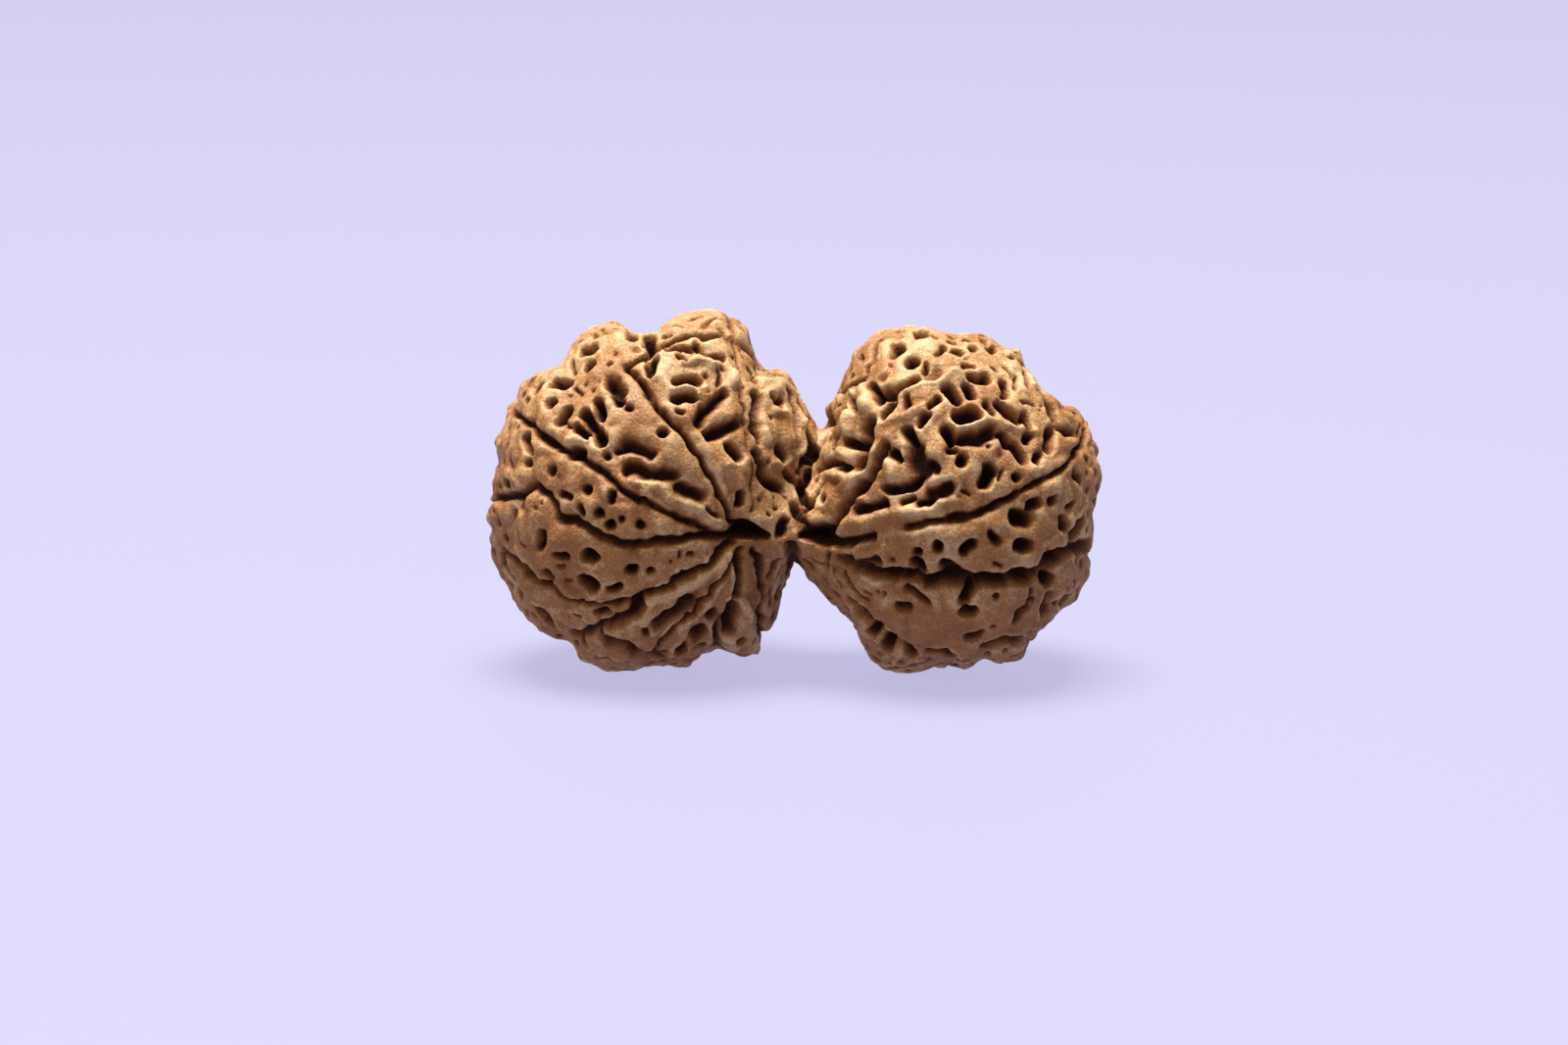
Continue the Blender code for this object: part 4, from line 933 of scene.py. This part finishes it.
def thinned(mesh):
    """The same mesh with fewer faces, spent where the relief is."""
    triangles = sum(len(face.vertices) - 2 for face in mesh.polygons)
    return modified(mesh, "fewer_faces", "DECIMATE", ratio=MOST_FACES / triangles)


def cut_flats(mesh):
    """Cuts off what reaches under the ground, which leaves a small flat under each bead."""
    shape = bmesh.new()
    shape.from_mesh(mesh)
    everything = shape.verts[:] + shape.edges[:] + shape.faces[:]
    bmesh.ops.bisect_plane(
        shape, geom=everything, plane_co=(0, 0, 0), plane_no=(0, 0, -1), clear_outer=True
    )
    rim = [edge for edge in shape.edges if edge.is_boundary]
    made = bmesh.ops.holes_fill(shape, edges=rim)
    bmesh.ops.triangulate(shape, faces=made["faces"])
    shape.to_mesh(mesh)
    shape.free()


def seed_mesh():
    """The seed with all its relief, and for its colour how deep and how high each point is, in mm."""
    mesh = skin_mesh(SKIN_VOXEL)
    points = onto_skin(mesh_points(mesh))
    height, depth = relief(points)
    raised = points + skin_normals(points) * height[:, None]
    push = pole_push(points)
    raised[:, 1] += push
    depth -= np.abs(push)
    mesh.vertices.foreach_set("co", raised.ravel())
    mesh.update()
    set_point_values(mesh, "depth", depth / MM)
    set_point_values(mesh, "stand", (height - blurred_over(mesh, height, STAND_ROUNDS)) / MM)
    mesh = thinned(mesh)
    cut_flats(mesh)
    mesh.shade_smooth()
    return mesh


def node(tree, kind, **settings):
    made = tree.nodes.new(kind)
    for setting, value in settings.items():
        setattr(made, setting, value)
    return made


def measured(tree, name):
    """The values that the mesh's points have under this name."""
    return node(tree, "ShaderNodeAttribute", attribute_name=name).outputs["Fac"]


def mottled(tree, place, scale, detail):
    """Noise of this scale and detail."""
    made = node(tree, "ShaderNodeTexNoise")
    made.inputs["Scale"].default_value = scale
    made.inputs["Detail"].default_value = detail
    tree.links.new(place, made.inputs["Vector"])
    return made.outputs["Fac"]


def remapped(tree, value, before, after):
    """A value carried over from one range to another."""
    made = node(tree, "ShaderNodeMapRange")
    for name, end in zip(("From Min", "From Max", "To Min", "To Max"), (*before, *after)):
        made.inputs[name].default_value = end
    tree.links.new(value, made.inputs["Value"])
    return made.outputs["Result"]


def added(tree, first, second):
    made = node(tree, "ShaderNodeMath", operation="ADD")
    tree.links.new(first, made.inputs[0])
    tree.links.new(second, made.inputs[1])
    return made.outputs["Value"]


def tone_with_painted_light(tree, place):
    """Painted shade in the hollows over their darker stone, painted highlight on what stands out, paler
    towards the top as painted top light and darker at the bottom as painted shade, and mottled all over.
    """
    axes = node(tree, "ShaderNodeSeparateXYZ")
    tree.links.new(place, axes.inputs["Vector"])
    # Depth darkens the hollows: partly their darker stone, partly painted shade.
    tone = remapped(tree, measured(tree, "depth"), *DEPTH_STONE_AND_SHADE_TONE)
    for value, ranges in (
        # Stand adds painted highlight on what stands out; low spots keep painted shade.
        (measured(tree, "stand"), STAND_HIGHLIGHT_AND_SHADE_TONE),
        (mottled(tree, place, *PATCHES), PATCH_TONE),
        (mottled(tree, place, *FLECKS), FLECK_TONE),
        # Height over the ground: painted top light towards the top, painted shade near the bottom.
        (axes.outputs["Z"], HEIGHT_LIGHT_AND_SHADE_TONE),
    ):
        tone = added(tree, tone, remapped(tree, value, *ranges))
    return tone


def stone_colour(tree, tone):
    """Reddish brown, ochre and a pale tan, one after another as the tone rises."""
    ramp = node(tree, "ShaderNodeValToRGB")
    stops = ramp.color_ramp.elements
    for position, _ in TONE_COLOURS[1:-1]:
        stops.new(position)
    for stop, (position, colour) in zip(stops, TONE_COLOURS):
        stop.position = position
        stop.color = (*colour, 1.0)
    tree.links.new(tone, ramp.inputs["Fac"])
    return ramp.outputs["Color"]


def stone_grain(tree, place, tone):
    """A fine grain, stronger in the hollows."""
    bump = node(tree, "ShaderNodeBump")
    bump.inputs["Distance"].default_value = GRAIN_HEIGHT
    tree.links.new(remapped(tree, tone, *TONE_GRAIN), bump.inputs["Strength"])
    tree.links.new(mottled(tree, place, *GRAIN), bump.inputs["Height"])
    return bump.outputs["Normal"]


def stone_material():
    """Waxy ochre crests with painted highlights over rough reddish-brown hollows with painted shade."""
    material = bpy.data.materials.new("seed_stone")
    material.use_nodes = True
    tree = material.node_tree
    shader = tree.nodes["Principled BSDF"]
    place = node(tree, "ShaderNodeTexCoord").outputs["Object"]
    tone = tone_with_painted_light(tree, place)
    tree.links.new(stone_colour(tree, tone), shader.inputs["Base Color"])
    tree.links.new(remapped(tree, tone, *TONE_ROUGHNESS), shader.inputs["Roughness"])
    tree.links.new(stone_grain(tree, place, tone), shader.inputs["Normal"])
    shader.inputs["Specular IOR Level"].default_value = GLOSS
    for count, item in enumerate(tree.nodes):
        row, column = divmod(count, NODE_COLUMNS)
        item.location = (column * NODE_SPACING, -row * NODE_SPACING)
    return material


def floor_material():
    material = bpy.data.materials.new("floor")
    material.use_nodes = True
    shader = material.node_tree.nodes["Principled BSDF"]
    shader.inputs["Base Color"].default_value = FLOOR_COLOUR
    shader.inputs["Roughness"].default_value = FLOOR_ROUGHNESS
    shader.inputs["Emission Color"].default_value = GLOW_COLOUR
    shader.inputs["Emission Strength"].default_value = GLOW_STRENGTH
    return material


def add_floor():
    shape = bmesh.new()
    bmesh.ops.create_grid(shape, x_segments=1, y_segments=1, size=FLOOR_SIZE)
    mesh = bpy.data.meshes.new("floor")
    shape.to_mesh(mesh)
    shape.free()
    floor = add_object("floor", mesh)
    floor.data.materials.append(floor_material())


def facing_rows(back):
    """Right, up and backward directions of something that looks the other way from this one."""
    back = back / np.linalg.norm(back)
    level = (0.0, 1.0, 0.0) if abs(back[2]) > STEEP else (0.0, 0.0, 1.0)
    side = np.cross(level, back)
    side /= np.linalg.norm(side)
    return side, np.cross(back, side), back


def add_light(name, place, size, watts, colour):
    """A soft square light that shines at the seed."""
    light = bpy.data.lights.new(name, "AREA")
    light.energy = watts
    light.size = size
    light.color = colour
    turn = Matrix(facing_rows(np.array(place) - LIT_PLACE)).transposed()
    add_object(name, light).matrix_world = Matrix.Translation(place) @ turn.to_4x4()


def add_world():
    world = bpy.data.worlds.new("studio")
    world.use_nodes = True
    background = world.node_tree.nodes["Background"]
    background.inputs["Color"].default_value = SKY_COLOUR
    background.inputs["Strength"].default_value = SKY_STRENGTH
    bpy.context.scene.world = world
    bpy.context.scene.view_settings.view_transform = "Standard"


def add_camera():
    """The camera of the front view, with a lens that shows VIEW_WIDTH view units at the seed."""
    camera = bpy.data.cameras.new("camera")
    camera.sensor_width = SENSOR_WIDTH
    camera.lens = SENSOR_WIDTH * VIEW_DISTANCE / UNIT / VIEW_WIDTH
    camera.clip_start = CLIP_START
    item = add_object("camera", camera)
    turn = Matrix((RIGHTWARD, UPWARD, TOWARD)).transposed()
    item.matrix_world = Matrix.Translation(EYE) @ turn.to_4x4()
    bpy.context.scene.camera = item


add_camera()
seed = add_object("seed_stone", seed_mesh())
seed.data.materials.append(stone_material())
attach(seed, "root")
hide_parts("rudraksha_seed")
add_floor()
for light in LIGHTS:
    add_light(*light)
add_world()
